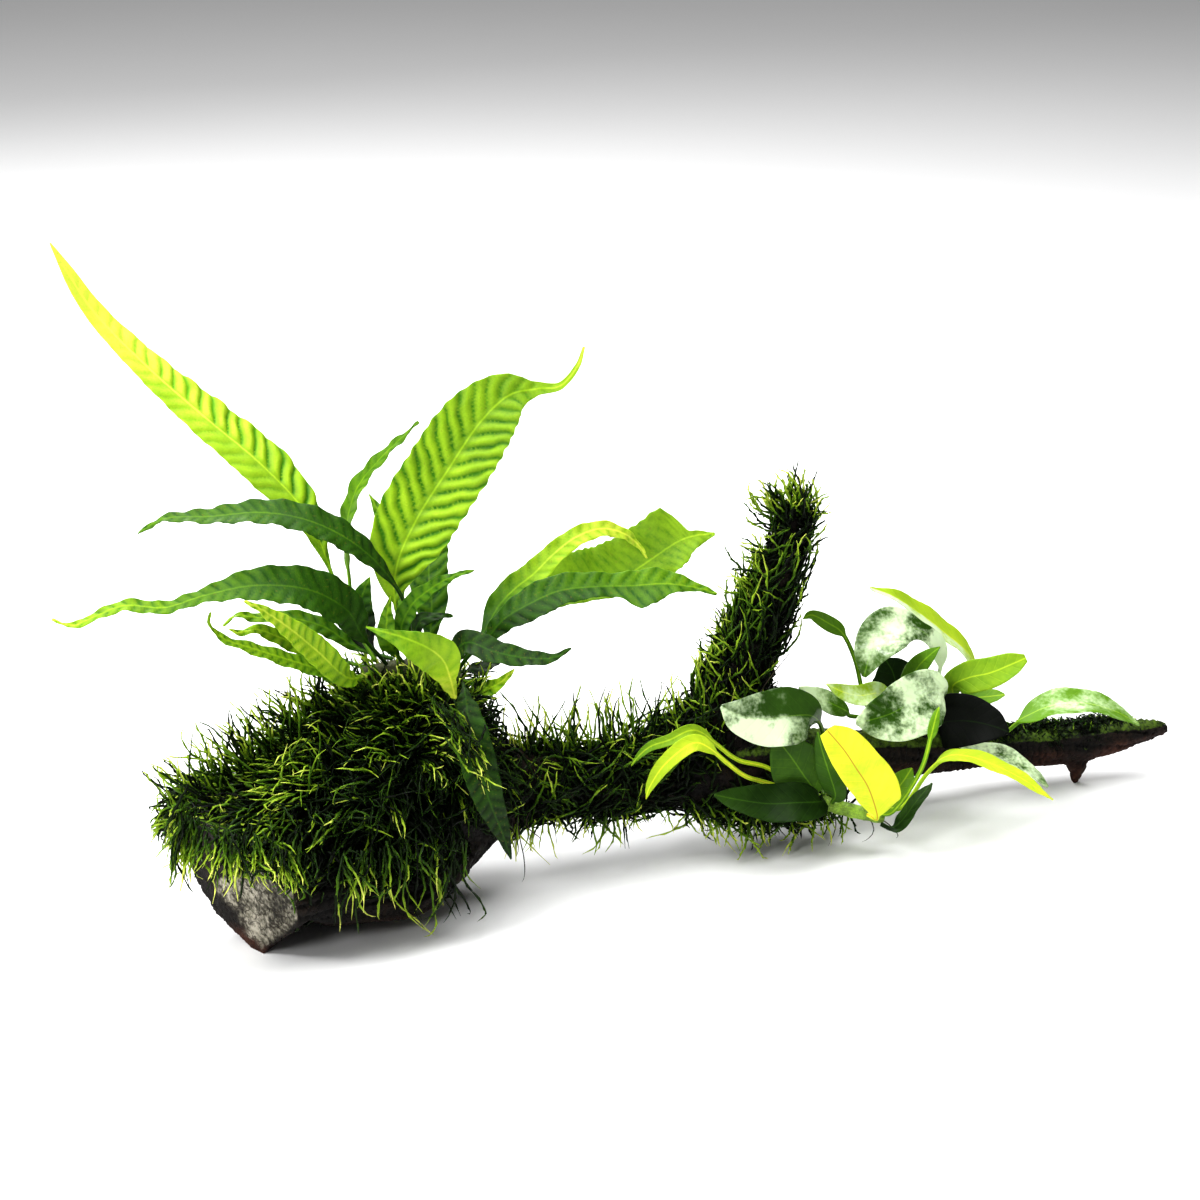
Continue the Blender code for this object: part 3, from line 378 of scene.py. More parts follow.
# %% [markdown]
# ## The anubias leaves' finish
# Anubias leaves are thick and smooth, and their side veins are faint. Three marks steer the look: tone runs
# from near black to yellow, gloss adds a wet coat, and pale is the share of the skin that is mint green or
# white. The pale parts stand for the broad reflections that such leaves show. They are blotches of colour in
# the skin, so they stay on the leaf from every side. The yellow leaves have a thin brown midrib instead of a
# pale one.

# %% Anubias material
LEAF_FINISH, tree, shader = new_finish("anubias_leaf_skin")
here = place_in(tree)
blotches, brown = use(tree, MOTTLING, "Tone, Specks", Place=here, Blotch_Scale=55.0, Speck_Scale=500.0,
                      Specks=0.25)
veins, midrib = use(tree, VEINS, "Side Veins, Midrib", Along=mark_of(tree, "along"),
                    Across=mark_of(tree, "across"), Spacing=mark_of(tree, "spacing"), Slant=0.95,
                    Sharpness=0.84, Rib=0.7)
tone = maths(tree, "MULTIPLY_ADD", blotches, 0.2, mark_of(tree, "tone"))
# Painted light: the crests of the relief are lightened.
tone = maths(tree, "MULTIPLY_ADD", mark_of(tree, "raised"), 0.08, tone)
tone = maths(tree, "MULTIPLY_ADD", veins, 0.035, tone)
tone = maths(tree, "MULTIPLY_ADD", midrib, 0.14, tone)
green = ramp(tree, tone, (0.0, (0.0006, 0.0016, 0.0004)), (0.2, (0.006, 0.02, 0.0018)),
             (0.4, (0.032, 0.085, 0.006)), (0.6, (0.12, 0.26, 0.012)), (0.8, (0.4, 0.56, 0.025)),
             (1.0, (0.88, 0.86, 0.05)))
# Painted reflection: pale, broken up by blotches, mixes a mint white into the skin for the sheen of the
# leaves.
painted_reflection = maths(tree, "MULTIPLY", maths(tree, "MULTIPLY_ADD", blotches, 3.2, 1.0), mark_of(tree, "pale"))
skin = mix(tree, between(tree, painted_reflection, 0.22, 0.62), green, (0.6, 0.74, 0.46))
golden = between(tree, mark_of(tree, "tone"), 0.78, 0.88)
skin = mix(tree, maths(tree, "MULTIPLY", midrib, golden), skin, (0.42, 0.24, 0.02))
height = maths(tree, "ADD", maths(tree, "MULTIPLY", veins, -0.5), maths(tree, "MULTIPLY", blotches, 0.5))
bump = add(tree, "Bump", Strength=0.3, Distance=0.0006, Height=height)
gloss = mark_of(tree, "gloss")
dullness = maths(tree, "MULTIPLY_ADD", gloss, -0.4, 0.6)
into(tree, shader, Base_Color=skin, Roughness=maths(tree, "MULTIPLY_ADD", blotches, 0.3, dullness),
     Normal=bump, Specular_IOR_Level=0.12, Coat_Weight=maths(tree, "POWER", gloss, 2.5), Coat_Roughness=0.1,
     Subsurface_Weight=0.12, Subsurface_Radius=LEAF_LIGHT, Subsurface_Scale=0.0008)
print("anubias finish:", len(tree.nodes), "nodes")

# %% [markdown]
# ## Building one leaf
# Every leaf is a closed skin swept along its rib. At the stalk the section is round; it opens into a thin
# blade with a raised midrib. A few lists shape it: the edges give the outline, the fold lifts both halves,
# the turn rolls the blade about its rib, quilt sets the height of the pillows and ruffle the waves of the
# margin. Relief fades both towards the tip. Around is the number of points in the section: the broad fronds
# need more, because a pillow is lost when it is narrower than two steps of the mesh. Sweeping one closed
# section gives a leaf with real thickness and no seams.

# %% Where stalks leave the rhizomes
RHIZOMES = {
    "fern": ([(362, 674, -5), (410, 668, -1), (462, 682, 5)], 5.0),
    "front": ([(790, 788, 58), (835, 806, 54), (884, 818, 50)], 4.0),
    "back": ([(862, 721, 106), (905, 718, 118), (955, 719, 131)], 4.0),
}
ROOM = 0.8


def rooted(rhizome, at, toward):
    """Where a stalk starts on its rhizome's surface."""
    places, radius = RHIZOMES[rhizome]
    line = np.array([spot(*p) for p in places])
    axis = curve(line, np.array([at]))[0]
    forward = unit(curve(line, np.array([min(at + 0.01, 1)]))[0] - curve(line,
                                                                         np.array([max(at - 0.01, 0)]))[0])
    lean = toward - axis
    return axis + unit(lean - forward * lean.dot(forward)) * (radius + ROOM)


# %% The outline of a blade
def half_widths(leaf, side, share):
    """Half the width on one side, at each share of the length."""
    stalk, thin = leaf["stalk"], leaf["stem"] / leaf["width"]
    edge = np.array(leaf["edges"][side], dtype=float)
    edge[0] = min(edge[0], thin)
    f = np.clip((share - stalk) / (1 - stalk), 0, 1)
    if leaf["angular"]:
        swell = np.interp(f, np.linspace(0, 1, len(edge)), edge)
    else:
        swell = curve(edge[:, None], f)[:, 0]
    least = thin * (1 - f) + 0.5 / leaf["width"] * f
    return np.maximum(swell, least) * leaf["width"] / 2


# %% The relief of a blade
def pillows(leaf, along, reach, half, side):
    """The swelling between side veins, from -0.5 on a vein to 0.5 on a pillow's crest."""
    share = reach / np.maximum(half, 0.1)
    uneven = 0.14 * np.sin(along * 0.31 + 2.0 * side) + 0.08 * np.sin(reach * 0.6 + along * 0.13)
    phase = (along - reach * leaf["slant"]) / leaf["spacing"] + 0.5 * side + uneven * share
    pillow = np.abs(np.sin(math.pi * phase)) - 0.5
    return pillow * smoothstep(0.0, 0.22, share) * (1 - 0.4 * share ** 4)


def ruffles(leaf, along, reach, half, side):
    """The waves of the margin."""
    swing = np.sin(along / leaf["ruffle_length"] * 2 * math.pi + 1.7 * side + 0.6 * np.sin(along * 0.05))
    return swing * (reach / np.maximum(half, 0.1)) ** 2.5


def profile(leaf, name, share):
    """A leaf's numbers of one kind, given in even steps from the stalk to the tip, at each share."""
    return np.interp(share, np.linspace(0, 1, len(leaf[name])), leaf[name])[:, None]


# %% Sweep a leaf
FULL_RELIEF_QUILT = 1.5


def leaf_skin(leaf):
    """The points, faces and marks of a leaf."""
    points = np.array([spot(*p) for p in leaf["rib"]])
    rib = np.vstack([rooted(leaf["from"], leaf["at"], points[0]), points])
    _, length = even_places(rib, 2)
    rows = max(30, int(length / leaf["cell"]))
    t, _ = even_places(rib, rows)
    centre = curve(rib, t)
    forward = unit(curve(rib, np.minimum(t + 0.01, 1)) - curve(rib, np.maximum(t - 0.01, 0)))
    across = unit(np.cross(forward, TO_VIEWER))
    outward = np.cross(across, forward)
    share = np.linspace(0, 1, rows)
    turn = np.radians(leaf["turn"][0] + (leaf["turn"][1] - leaf["turn"][0]) * share)[:, None]
    across, outward = (across * np.cos(turn) + outward * np.sin(turn),
                       outward * np.cos(turn) - across * np.sin(turn))
    angle = np.linspace(0, 2 * math.pi, leaf["around"], endpoint=False)[None, :]
    u, above = np.cos(angle), np.sin(angle)
    side = (u > 0).astype(float) * np.ones((rows, 1))
    left, right = half_widths(leaf, 0, share)[:, None], half_widths(leaf, 1, share)[:, None]
    along = ((share - leaf["stalk"]) * length)[:, None]
    blade = smoothstep(leaf["stalk"] - 0.03, leaf["stalk"] + 0.1, share)[:, None]
    half = np.where(side > 0, right, left)
    half = half * (1 + blade * leaf["scallop"] * np.cos(
        2 * math.pi * ((along - half * leaf["slant"]) / leaf["spacing"] + 0.5 * side)))
    reach = np.abs(u) * half
    stem = leaf["stem"] / 2 * (1 - 0.3 * share[:, None])
    rib_rise = stem * 0.75 * np.exp(-(reach / (stem + 0.2)) ** 2) * (1 - share[:, None]) ** 0.7
    skin = leaf["thickness"] / 2 * np.minimum(1, np.abs(above) * 2.5) + rib_rise
    rise = np.sign(above) * ((1 - blade) * stem * np.abs(above) + blade * skin)
    fold = leaf["fold"] * (np.sqrt(reach ** 2 + 4 * blade) - 2 * np.sqrt(blade))
    relief = blade * profile(leaf, "relief", share) * (1 - leaf["smooth_left"] * (1 - side))
    raised = relief * pillows(leaf, along, reach, half, side)
    rise = rise + fold + leaf["quilt"] * raised + relief * leaf["ruffle"] * ruffles(leaf, along, reach, half,
                                                                                    side)
    skin_points = (centre[:, None, :] + across[:, None, :] * (u * half)[..., None]
                   + outward[:, None, :] * rise[..., None])
    # dark_right darkens the right half of the blade: painted shade on a half turned from the light.
    tone = profile(leaf, "tone", share) - leaf["dark_right"] * side * blade
    # pale and pale_left whiten parts of the skin as painted reflections, read only by the anubias finish;
    # pale_left whitens the left half.
    pale = profile(leaf, "pale", share) + leaf["pale_left"] * (1 - side) * blade
    # The raised mark carries the pillows' height to the materials, which paint shade into the valleys and
    # light onto the crests.
    marks = {"along": along + 0 * u, "across": u * half, "tone": tone + 0 * u, "pale": pale + 0 * u,
             "spacing": leaf["spacing"] + 0 * reach,
             "raised": raised * min(leaf["quilt"] / FULL_RELIEF_QUILT, 1), "gloss": leaf["gloss"] + 0 * reach}
    return skin_points.reshape(-1, 3), rows, {k: v.ravel() for k, v in marks.items()}


def make_leaf(node, leaf, finish, slot):
    points, rows, marks = leaf_skin(leaf)
    around = leaf["around"]
    ends = (list(range(around))[::-1], list(range((rows - 1) * around, rows * around)))
    piece = piece_from(node + "_skin", points, ring_faces(rows, around), finish, marks, ends)
    return keep(piece, slot, node)


print("leaf sweep ready")

# %% [markdown]
# ## The fern's fronds
# The rib of each frond is a list of (pixel across, pixel down, depth). Most fronds share a lance outline, and
# the odd ones have their own: the tall fronds end in a tail, one is forked like a fishtail and one has a
# lower lobe. Negative turns show the face of fronds that lean left. Tone goes from the stalk to the tip.

# %% Outlines of fronds
LANCE = (0.12, 0.44, 0.75, 0.93, 1.0, 0.97, 0.87, 0.72, 0.53, 0.31, 0.05)
TALL_LEFT_EDGE = (0.12, 0.45, 0.8, 1.0, 0.96, 0.9, 0.78, 0.66, 0.55, 0.44, 0.3, 0.03)
LOW_LEFT_EDGE = (0.2, 0.6, 0.92, 1.0, 0.95, 0.85, 0.62, 0.38, 0.34, 0.34, 0.28, 0.2, 0.03)
TAILED_EDGE = (0.1, 0.5, 0.82, 0.97, 1.0, 1.0, 1.0, 0.97, 0.86, 0.62, 0.22, 0.1, 0.07, 0.03)
FORKED_UPPER_EDGE = (0.19, 0.42, 0.68, 0.86, 0.96, 1.0, 0.99, 0.96, 0.94, 0.9, 0.87, 0.85, 0.85, 0.86, 0.88,
                     0.14, 0.09, 0.04)
FORKED_LOWER_EDGE = (0.1, 0.12, 0.14, 0.16, 0.18, 0.2, 0.24, 0.3, 0.36, 0.44, 0.52, 0.58, 0.6, 0.6, 0.52,
                     0.37, 0.21, 0.04)
LOBED_UPPER_EDGE = (0.12, 0.2, 0.33, 0.41, 0.53, 0.65, 0.65, 0.63, 0.61, 0.57, 0.51, 0.53, 0.59, 0.63, 0.49,
                    0.33, 0.18, 0.05)
LOBED_LOWER_EDGE = (0.1, 0.2, 0.37, 0.53, 0.65, 0.73, 0.69, 0.61, 0.53, 0.47, 0.39, 0.57, 1.0, 0.78, 0.41,
                    0.2, 0.12, 0.05)
ARCHING_EDGE = (0.3, 0.8, 1.0, 1.0, 0.9, 0.8, 0.75, 0.65, 0.5, 0.3, 0.05)
DROOPING_LOWER_EDGE = (0.12, 0.25, 0.42, 0.65, 0.85, 0.95, 0.97, 0.82, 0.5, 0.24, 0.05)
DROOPING_UPPER_EDGE = (0.12, 0.12, 0.2, 0.32, 0.68, 0.9, 0.76, 0.5, 0.26, 0.12, 0.05)

PLAIN_LEAF = {"pale": (0, 0), "pale_left": 0.0, "dark_right": 0.0, "relief": (1, 1), "smooth_left": 0.0,
              "around": 26, "angular": False}
FROND = PLAIN_LEAF | {
    "from": "fern", "stem": 2.2, "edges": (LANCE, LANCE), "fold": 0.2, "thickness": 0.55, "spacing": 7.0,
    "slant": 0.75, "quilt": 0.9, "ruffle": 0.9, "ruffle_length": 15.0, "scallop": 0.02, "cell": 1.3,
    "tone": (0.3, 0.5), "gloss": 0.3}

# %% The fronds
FRONDS = {
    "tall_left": dict(
        at=0.16, width=29, turn=(-30, -38), stalk=0.2, edges=(TALL_LEFT_EDGE, TALL_LEFT_EDGE),
        tone=(0.5, 0.6, 0.72, 0.8, 0.92, 0.98), quilt=2.6, spacing=9.5, slant=0.9, ruffle=1.2,
        ruffle_length=21, scallop=0.008, relief=(1, 1, 1, 1, 0.7, 0.2, 0), smooth_left=0.65, around=50,
        rib=[(350, 618, 14), (332, 575, 20), (306, 515, 26), (262, 466, 33), (205, 418, 40),
             (148, 368, 47), (92, 310, 52), (50, 243, 50)]),
    "middle_left": dict(
        at=0.5, width=19, turn=(-20, -52), stalk=0.26, tone=(0.21, 0.29, 0.38, 0.46), spacing=6, quilt=0.7,
        rib=[(405, 605, -18), (378, 565, -24), (345, 538, -29), (305, 520, -34), (260, 513, -38),
             (210, 517, -42), (165, 519, -45), (138, 534, -47)]),
    "low_left": dict(
        at=0.26, width=25, turn=(-25, -40), stalk=0.12, edges=(LOW_LEFT_EDGE, LOW_LEFT_EDGE),
        tone=(0.24, 0.3, 0.37, 0.48, 0.62, 0.78), quilt=0.8,
        rib=[(362, 636, -26), (346, 610, -36), (308, 590, -46), (255, 586, -56), (205, 596, -64),
             (165, 608, -68), (125, 606, -72), (95, 617, -76), (72, 626, -80), (52, 619, -82)]),
    "front_left": dict(
        at=0.12, width=15, turn=(-15, -25), stalk=0.12, tone=(0.6, 0.76, 0.82),
        rib=[(348, 678, -44), (318, 652, -62), (290, 629, -80), (262, 610, -95), (244, 601, -103)]),
    "lowest_left": dict(
        at=0.02, width=9, turn=(-20, -30), stalk=0.1, tone=(0.4, 0.6, 0.68), spacing=5, ruffle=1.2,
        rib=[(346, 683, -30), (322, 671, -42), (285, 659, -52), (250, 648, -58), (224, 639, -61),
             (210, 625, -62), (210, 612, -60)]),
    "back_left": dict(
        at=0.34, width=11, turn=(-20, -45), stalk=0.14, tone=(0.32, 0.5, 0.7),
        rib=[(356, 648, 6), (325, 628, 4), (293, 619, -2), (258, 618, -12), (236, 616, -18),
             (223, 626, -22)]),
    "back_left_low": dict(
        at=0.08, width=11, turn=(-20, -30), stalk=0.14, tone=(0.36, 0.66, 0.76),
        rib=[(346, 662, 12), (315, 652, 10), (285, 640, 2), (258, 630, -8), (240, 633, -14),
             (228, 629, -16)]),
    "thin_upright": dict(
        at=0.42, width=16, turn=(60, 55), stalk=0.4, tone=(0.33, 0.53, 0.56, 0.46), quilt=0.6,
        rib=[(358, 612, 30), (349, 575, 36), (347, 530, 40), (357, 490, 44), (378, 462, 47),
             (400, 440, 48), (419, 422, 48)]),
    "tall_right": dict(
        at=0.6, width=43, turn=(0, 5), stalk=0.18, edges=(TAILED_EDGE, TAILED_EDGE), spacing=9.5, slant=1.0,
        quilt=3.4, tone=(0.34, 0.66, 0.68, 0.66, 0.65, 0.85), ruffle=0.8, scallop=0.02, around=62,
        relief=(1, 1, 1, 1, 1, 0.9, 0.5, 0, 0),
        rib=[(397, 612, -10), (397, 566, -6), (417, 519, 0), (448, 470, 6), (479, 424, 11),
             (508, 396, 15), (536, 389, 18), (560, 386, 17), (577, 367, 14), (584, 347, 10)]),
    "back_curled": dict(
        at=0.62, width=14, turn=(20, 10), stalk=0.3, tone=(0.38, 0.6),
        rib=[(400, 606, 34), (394, 556, 52), (383, 520, 66), (369, 494, 74)]),
    "back_right": dict(
        at=0.76, width=22, turn=(12, 5), stalk=0.16, tone=(0.34, 0.44, 0.42), quilt=1.8,
        rib=[(431, 640, 26), (432, 605, 34), (429, 570, 44), (433, 535, 55), (447, 503, 66),
             (463, 482, 74)]),
    "small_right": dict(
        at=0.58, width=11, turn=(10, 30), stalk=0.15, fold=0.4, tone=(0.25, 0.44, 0.5),
        rib=[(402, 634, -22), (411, 607, -30), (427, 592, -36), (448, 579, -42), (474, 570, -46)]),
    "young_inner": dict(
        at=0.42, width=11, turn=(0, 0), stalk=0.15, tone=(0.42, 0.6),
        rib=[(388, 640, -26), (387, 618, -32), (390, 597, -36)]),
    "drooping_front": dict(
        at=0.86, width=23, turn=(0, 0), stalk=0.3, edges=(DROOPING_LOWER_EDGE, DROOPING_UPPER_EDGE),
        tone=(0.78, 0.9, 0.86, 0.68, 0.55), quilt=0.4,
        rib=[(452, 684, -20), (455, 697, -43), (450, 677, -57), (443, 660, -64), (428, 648, -70),
             (405, 638, -72), (385, 632, -71), (366, 627, -68)]),
    "dark_right": dict(
        at=0.82, width=15, turn=(30, 25), stalk=0.12, tone=(0.04, 0.24, 0.24), gloss=0.1,
        rib=[(450, 660, -22), (467, 643, -36), (494, 652, -46), (524, 658, -52), (553, 658, -58),
             (571, 648, -60)]),
    "short_right": dict(
        at=0.7, width=9, turn=(20, 40), stalk=0.2, tone=(0.1, 0.3),
        rib=[(417, 638, 12), (420, 622, 14), (434, 617, 15), (453, 616, 16)]),
    "low_right": dict(
        at=0.99, width=9, turn=(20, 20), stalk=0.08, tone=(0.5, 0.78),
        rib=[(476, 683, -5), (486, 688, -13), (497, 685, -18), (507, 677, -19), (514, 669, -19)]),
    "shaded_right": dict(
        at=0.97, width=10, turn=(40, 40), stalk=0.15, tone=(0.05, 0.15),
        rib=[(470, 671, 12), (486, 667, 14), (502, 660, 15)]),
    "arching_right": dict(
        at=0.72, width=15, turn=(5, 25), stalk=0.2, edges=(ARCHING_EDGE, ARCHING_EDGE),
        tone=(0.2, 0.4, 0.74, 0.86, 0.84), quilt=0.5,
        rib=[(464, 656, -4), (484, 632, 0), (499, 606, 5), (516, 588, 10), (534, 574, 14),
             (553, 555, 21), (575, 538, 28), (600, 529, 36), (622, 533, 42), (637, 544, 47),
             (647, 558, 50)]),
    "broad_right": dict(
        at=0.86, width=49, turn=(20, 14), stalk=0.32, edges=(FORKED_UPPER_EDGE, FORKED_LOWER_EDGE),
        angular=True, tone=(0.3, 0.5, 0.66, 0.66, 0.7), quilt=0.5, spacing=6,
        rib=[(470, 650, 24), (498, 630, 34), (536, 608, 46), (580, 595, 55), (605, 587, 60),
             (628, 575, 65), (652, 559, 69), (671, 546, 72), (684, 539, 74), (699, 535, 75),
             (715, 534, 76)]),
    "lower_right": dict(
        at=0.9, width=29, turn=(25, 20), stalk=0.15, edges=(LOBED_UPPER_EDGE, LOBED_LOWER_EDGE), angular=True,
        # dark_right darkens the lower lobe as painted shade.
        tone=(0.24, 0.34, 0.44, 0.56, 0.64), dark_right=0.1,
        rib=[(468, 657, -10), (490, 636, -14), (505, 619, -15), (530, 604, -15), (560, 591, -13),
             (595, 587, -11), (631, 586, -9), (666, 584, -8), (695, 588, -7), (717, 594, -7)]),
    "on_moss": dict(
        at=0.97, width=19, turn=(20, 0), stalk=0.25, tone=(0.03, 0.22, 0.25, 0.14), gloss=0.1,
        rib=[(464, 688, -36), (469, 722, -62), (478, 762, -72), (489, 800, -72), (502, 832, -66),
             (511, 859, -62)]),
    "dark_inner": dict(
        at=0.26, width=17, turn=(10, 0), stalk=0.2, tone=(-0.05, 0.12, 0.5), gloss=0.1,
        rib=[(366, 640, 16), (360, 618, 22), (362, 597, 26), (370, 577, 28)]),
}
for name, shape in FRONDS.items():
    make_leaf("fern_frond_" + name, FROND | shape, FROND_FINISH, "fern_frond")
print("fronds:", len(FRONDS))

# %% [markdown]
# ## The anubias leaves
# These are oval, smooth and short-stalked, and most face the viewer. They use the same sweep with low
# pillows, a thicker stalk and long soft waves.

# %% Outlines of anubias leaves
OVAL = (0.15, 0.66, 0.92, 1.0, 0.98, 0.90, 0.74, 0.50, 0.06)
BLUNT_EDGE = (0.15, 0.62, 0.88, 1.0, 1.0, 0.95, 0.85, 0.66, 0.25)
YELLOW_LEFT_EDGE = (0.1, 0.35, 0.5, 0.58, 0.62, 0.62, 0.6, 0.5, 0.3)
YELLOW_RIGHT_EDGE = (0.2, 0.8, 1.0, 1.0, 0.95, 0.88, 0.8, 0.66, 0.3)
NARROW_OVAL = (0.15, 0.5, 0.68, 0.75, 0.74, 0.7, 0.6, 0.42, 0.1)
SPOON_EDGE = (0.2, 0.36, 0.42, 0.4, 0.45, 0.75, 1.0, 1.0, 0.8, 0.5, 0.1)
ANUBIAS = PLAIN_LEAF | {
    "stem": 2.6, "edges": (OVAL, OVAL), "fold": 0.2, "thickness": 0.7, "spacing": 7.0, "slant": 0.95,
    "quilt": 0.35, "ruffle": 0.5, "ruffle_length": 24.0, "scallop": 0.0, "cell": 1.2,
    "tone": (0.3, 0.3), "gloss": 0.2}

# %% The front anubias
FRONT_LEAVES = {
    "glossy": dict(
        at=0.34, width=33, turn=(0, -12), stalk=0.44, tone=(0.45, 0.36, 0.32), quilt=0.5, gloss=1.0,
        fold=0.05, pale=(0, 0, 0, 0.14, 0.42, 0.3), pale_left=0.22,
        rib=[(823, 768, 56), (824, 737, 50), (814, 717, 42), (790, 716, 34), (765, 719, 28),
             (740, 716, 24), (721, 706, 22)]),
    "under_glossy": dict(
        at=0.23, width=32, turn=(10, 10), stalk=0.12, tone=(0.46, 0.42, 0.38),
        rib=[(814, 790, 46), (803, 774, 42), (789, 754, 39), (775, 737, 38)]),
    "narrow_dark": dict(
        at=0.46, width=15, turn=(30, 30), stalk=0.1, tone=(0.36, 0.4),
        rib=[(836, 794, 40), (830, 774, 34), (823, 752, 33), (818, 732, 35)]),
    "bottom": dict(
        at=0.3, width=24, turn=(-20, -30), stalk=0.08, tone=(0.2, 0.28),
        rib=[(820, 802, 38), (797, 803, 30), (768, 804, 27), (738, 800, 24), (714, 795, 22)]),
    "yellow": dict(
        at=0.84, width=33, turn=(5, 0), stalk=0.16, edges=(YELLOW_LEFT_EDGE, YELLOW_RIGHT_EDGE),
        tone=(0.86, 0.91, 0.92), gloss=0.1, quilt=0.7, ruffle=0.9, ruffle_length=14,
        rib=[(877, 818, 38), (874, 803, 32), (867, 785, 28), (856, 768, 24), (844, 750, 22),
             (827, 730, 21)]),
    "spear": dict(
        at=0.95, width=6, turn=(0, 0), stalk=0.74, tone=(0.56, 0.6, 0.58),
        rib=[(892, 812, 40), (908, 792, 40), (923, 765, 44), (931, 736, 50), (936, 716, 55),
             (939, 707, 57)]),
    "low_right": dict(
        at=1.0, width=17, turn=(62, 62), stalk=0.36, tone=(0.62, 0.8, 0.84),
        rib=[(904, 806, 54), (927, 774, 60), (946, 758, 63), (967, 757, 63), (997, 767, 60),
             (1026, 782, 56), (1053, 800, 52)]),
    "hanging": dict(
        at=0.98, width=14, turn=(60, 60), stalk=0.12, tone=(0.2, 0.3), pale=(0, 0.2),
        rib=[(893, 829, 44), (904, 820, 42), (914, 806, 44), (924, 793, 48), (932, 783, 52)]),
    "behind_yellow": dict(
        at=0.86, width=17, turn=(20, 20), stalk=0.15, tone=(0.6, 0.6),
        rib=[(884, 804, 62), (893, 794, 68), (903, 782, 72), (912, 768, 74)]),
    "curled_long": dict(
        at=0.04, width=10, turn=(0, -20), stalk=0.52, fold=0.5, tone=(0.8, 0.8, 0.75),
        rib=[(764, 782, 42), (745, 776, 34), (727, 763, 26), (709, 748, 20), (695, 743, 17),
             (679, 752, 14), (662, 768, 12), (650, 787, 11), (646, 799, 11)]),
    "curled_short": dict(
        at=0.12, width=7, turn=(0, -20), stalk=0.54, fold=0.5, tone=(0.74, 0.74, 0.56),
        rib=[(768, 768, 50), (738, 760, 42), (717, 745, 34), (702, 733, 29), (689, 731, 25),
             (670, 740, 22), (652, 746, 19), (640, 755, 17), (631, 766, 16)]),
}
for name, shape in FRONT_LEAVES.items():
    make_leaf("anubias_leaf_" + name, ANUBIAS | {"from": "front"} | shape, LEAF_FINISH, "anubias_leaf")
print("front anubias leaves:", len(FRONT_LEAVES))

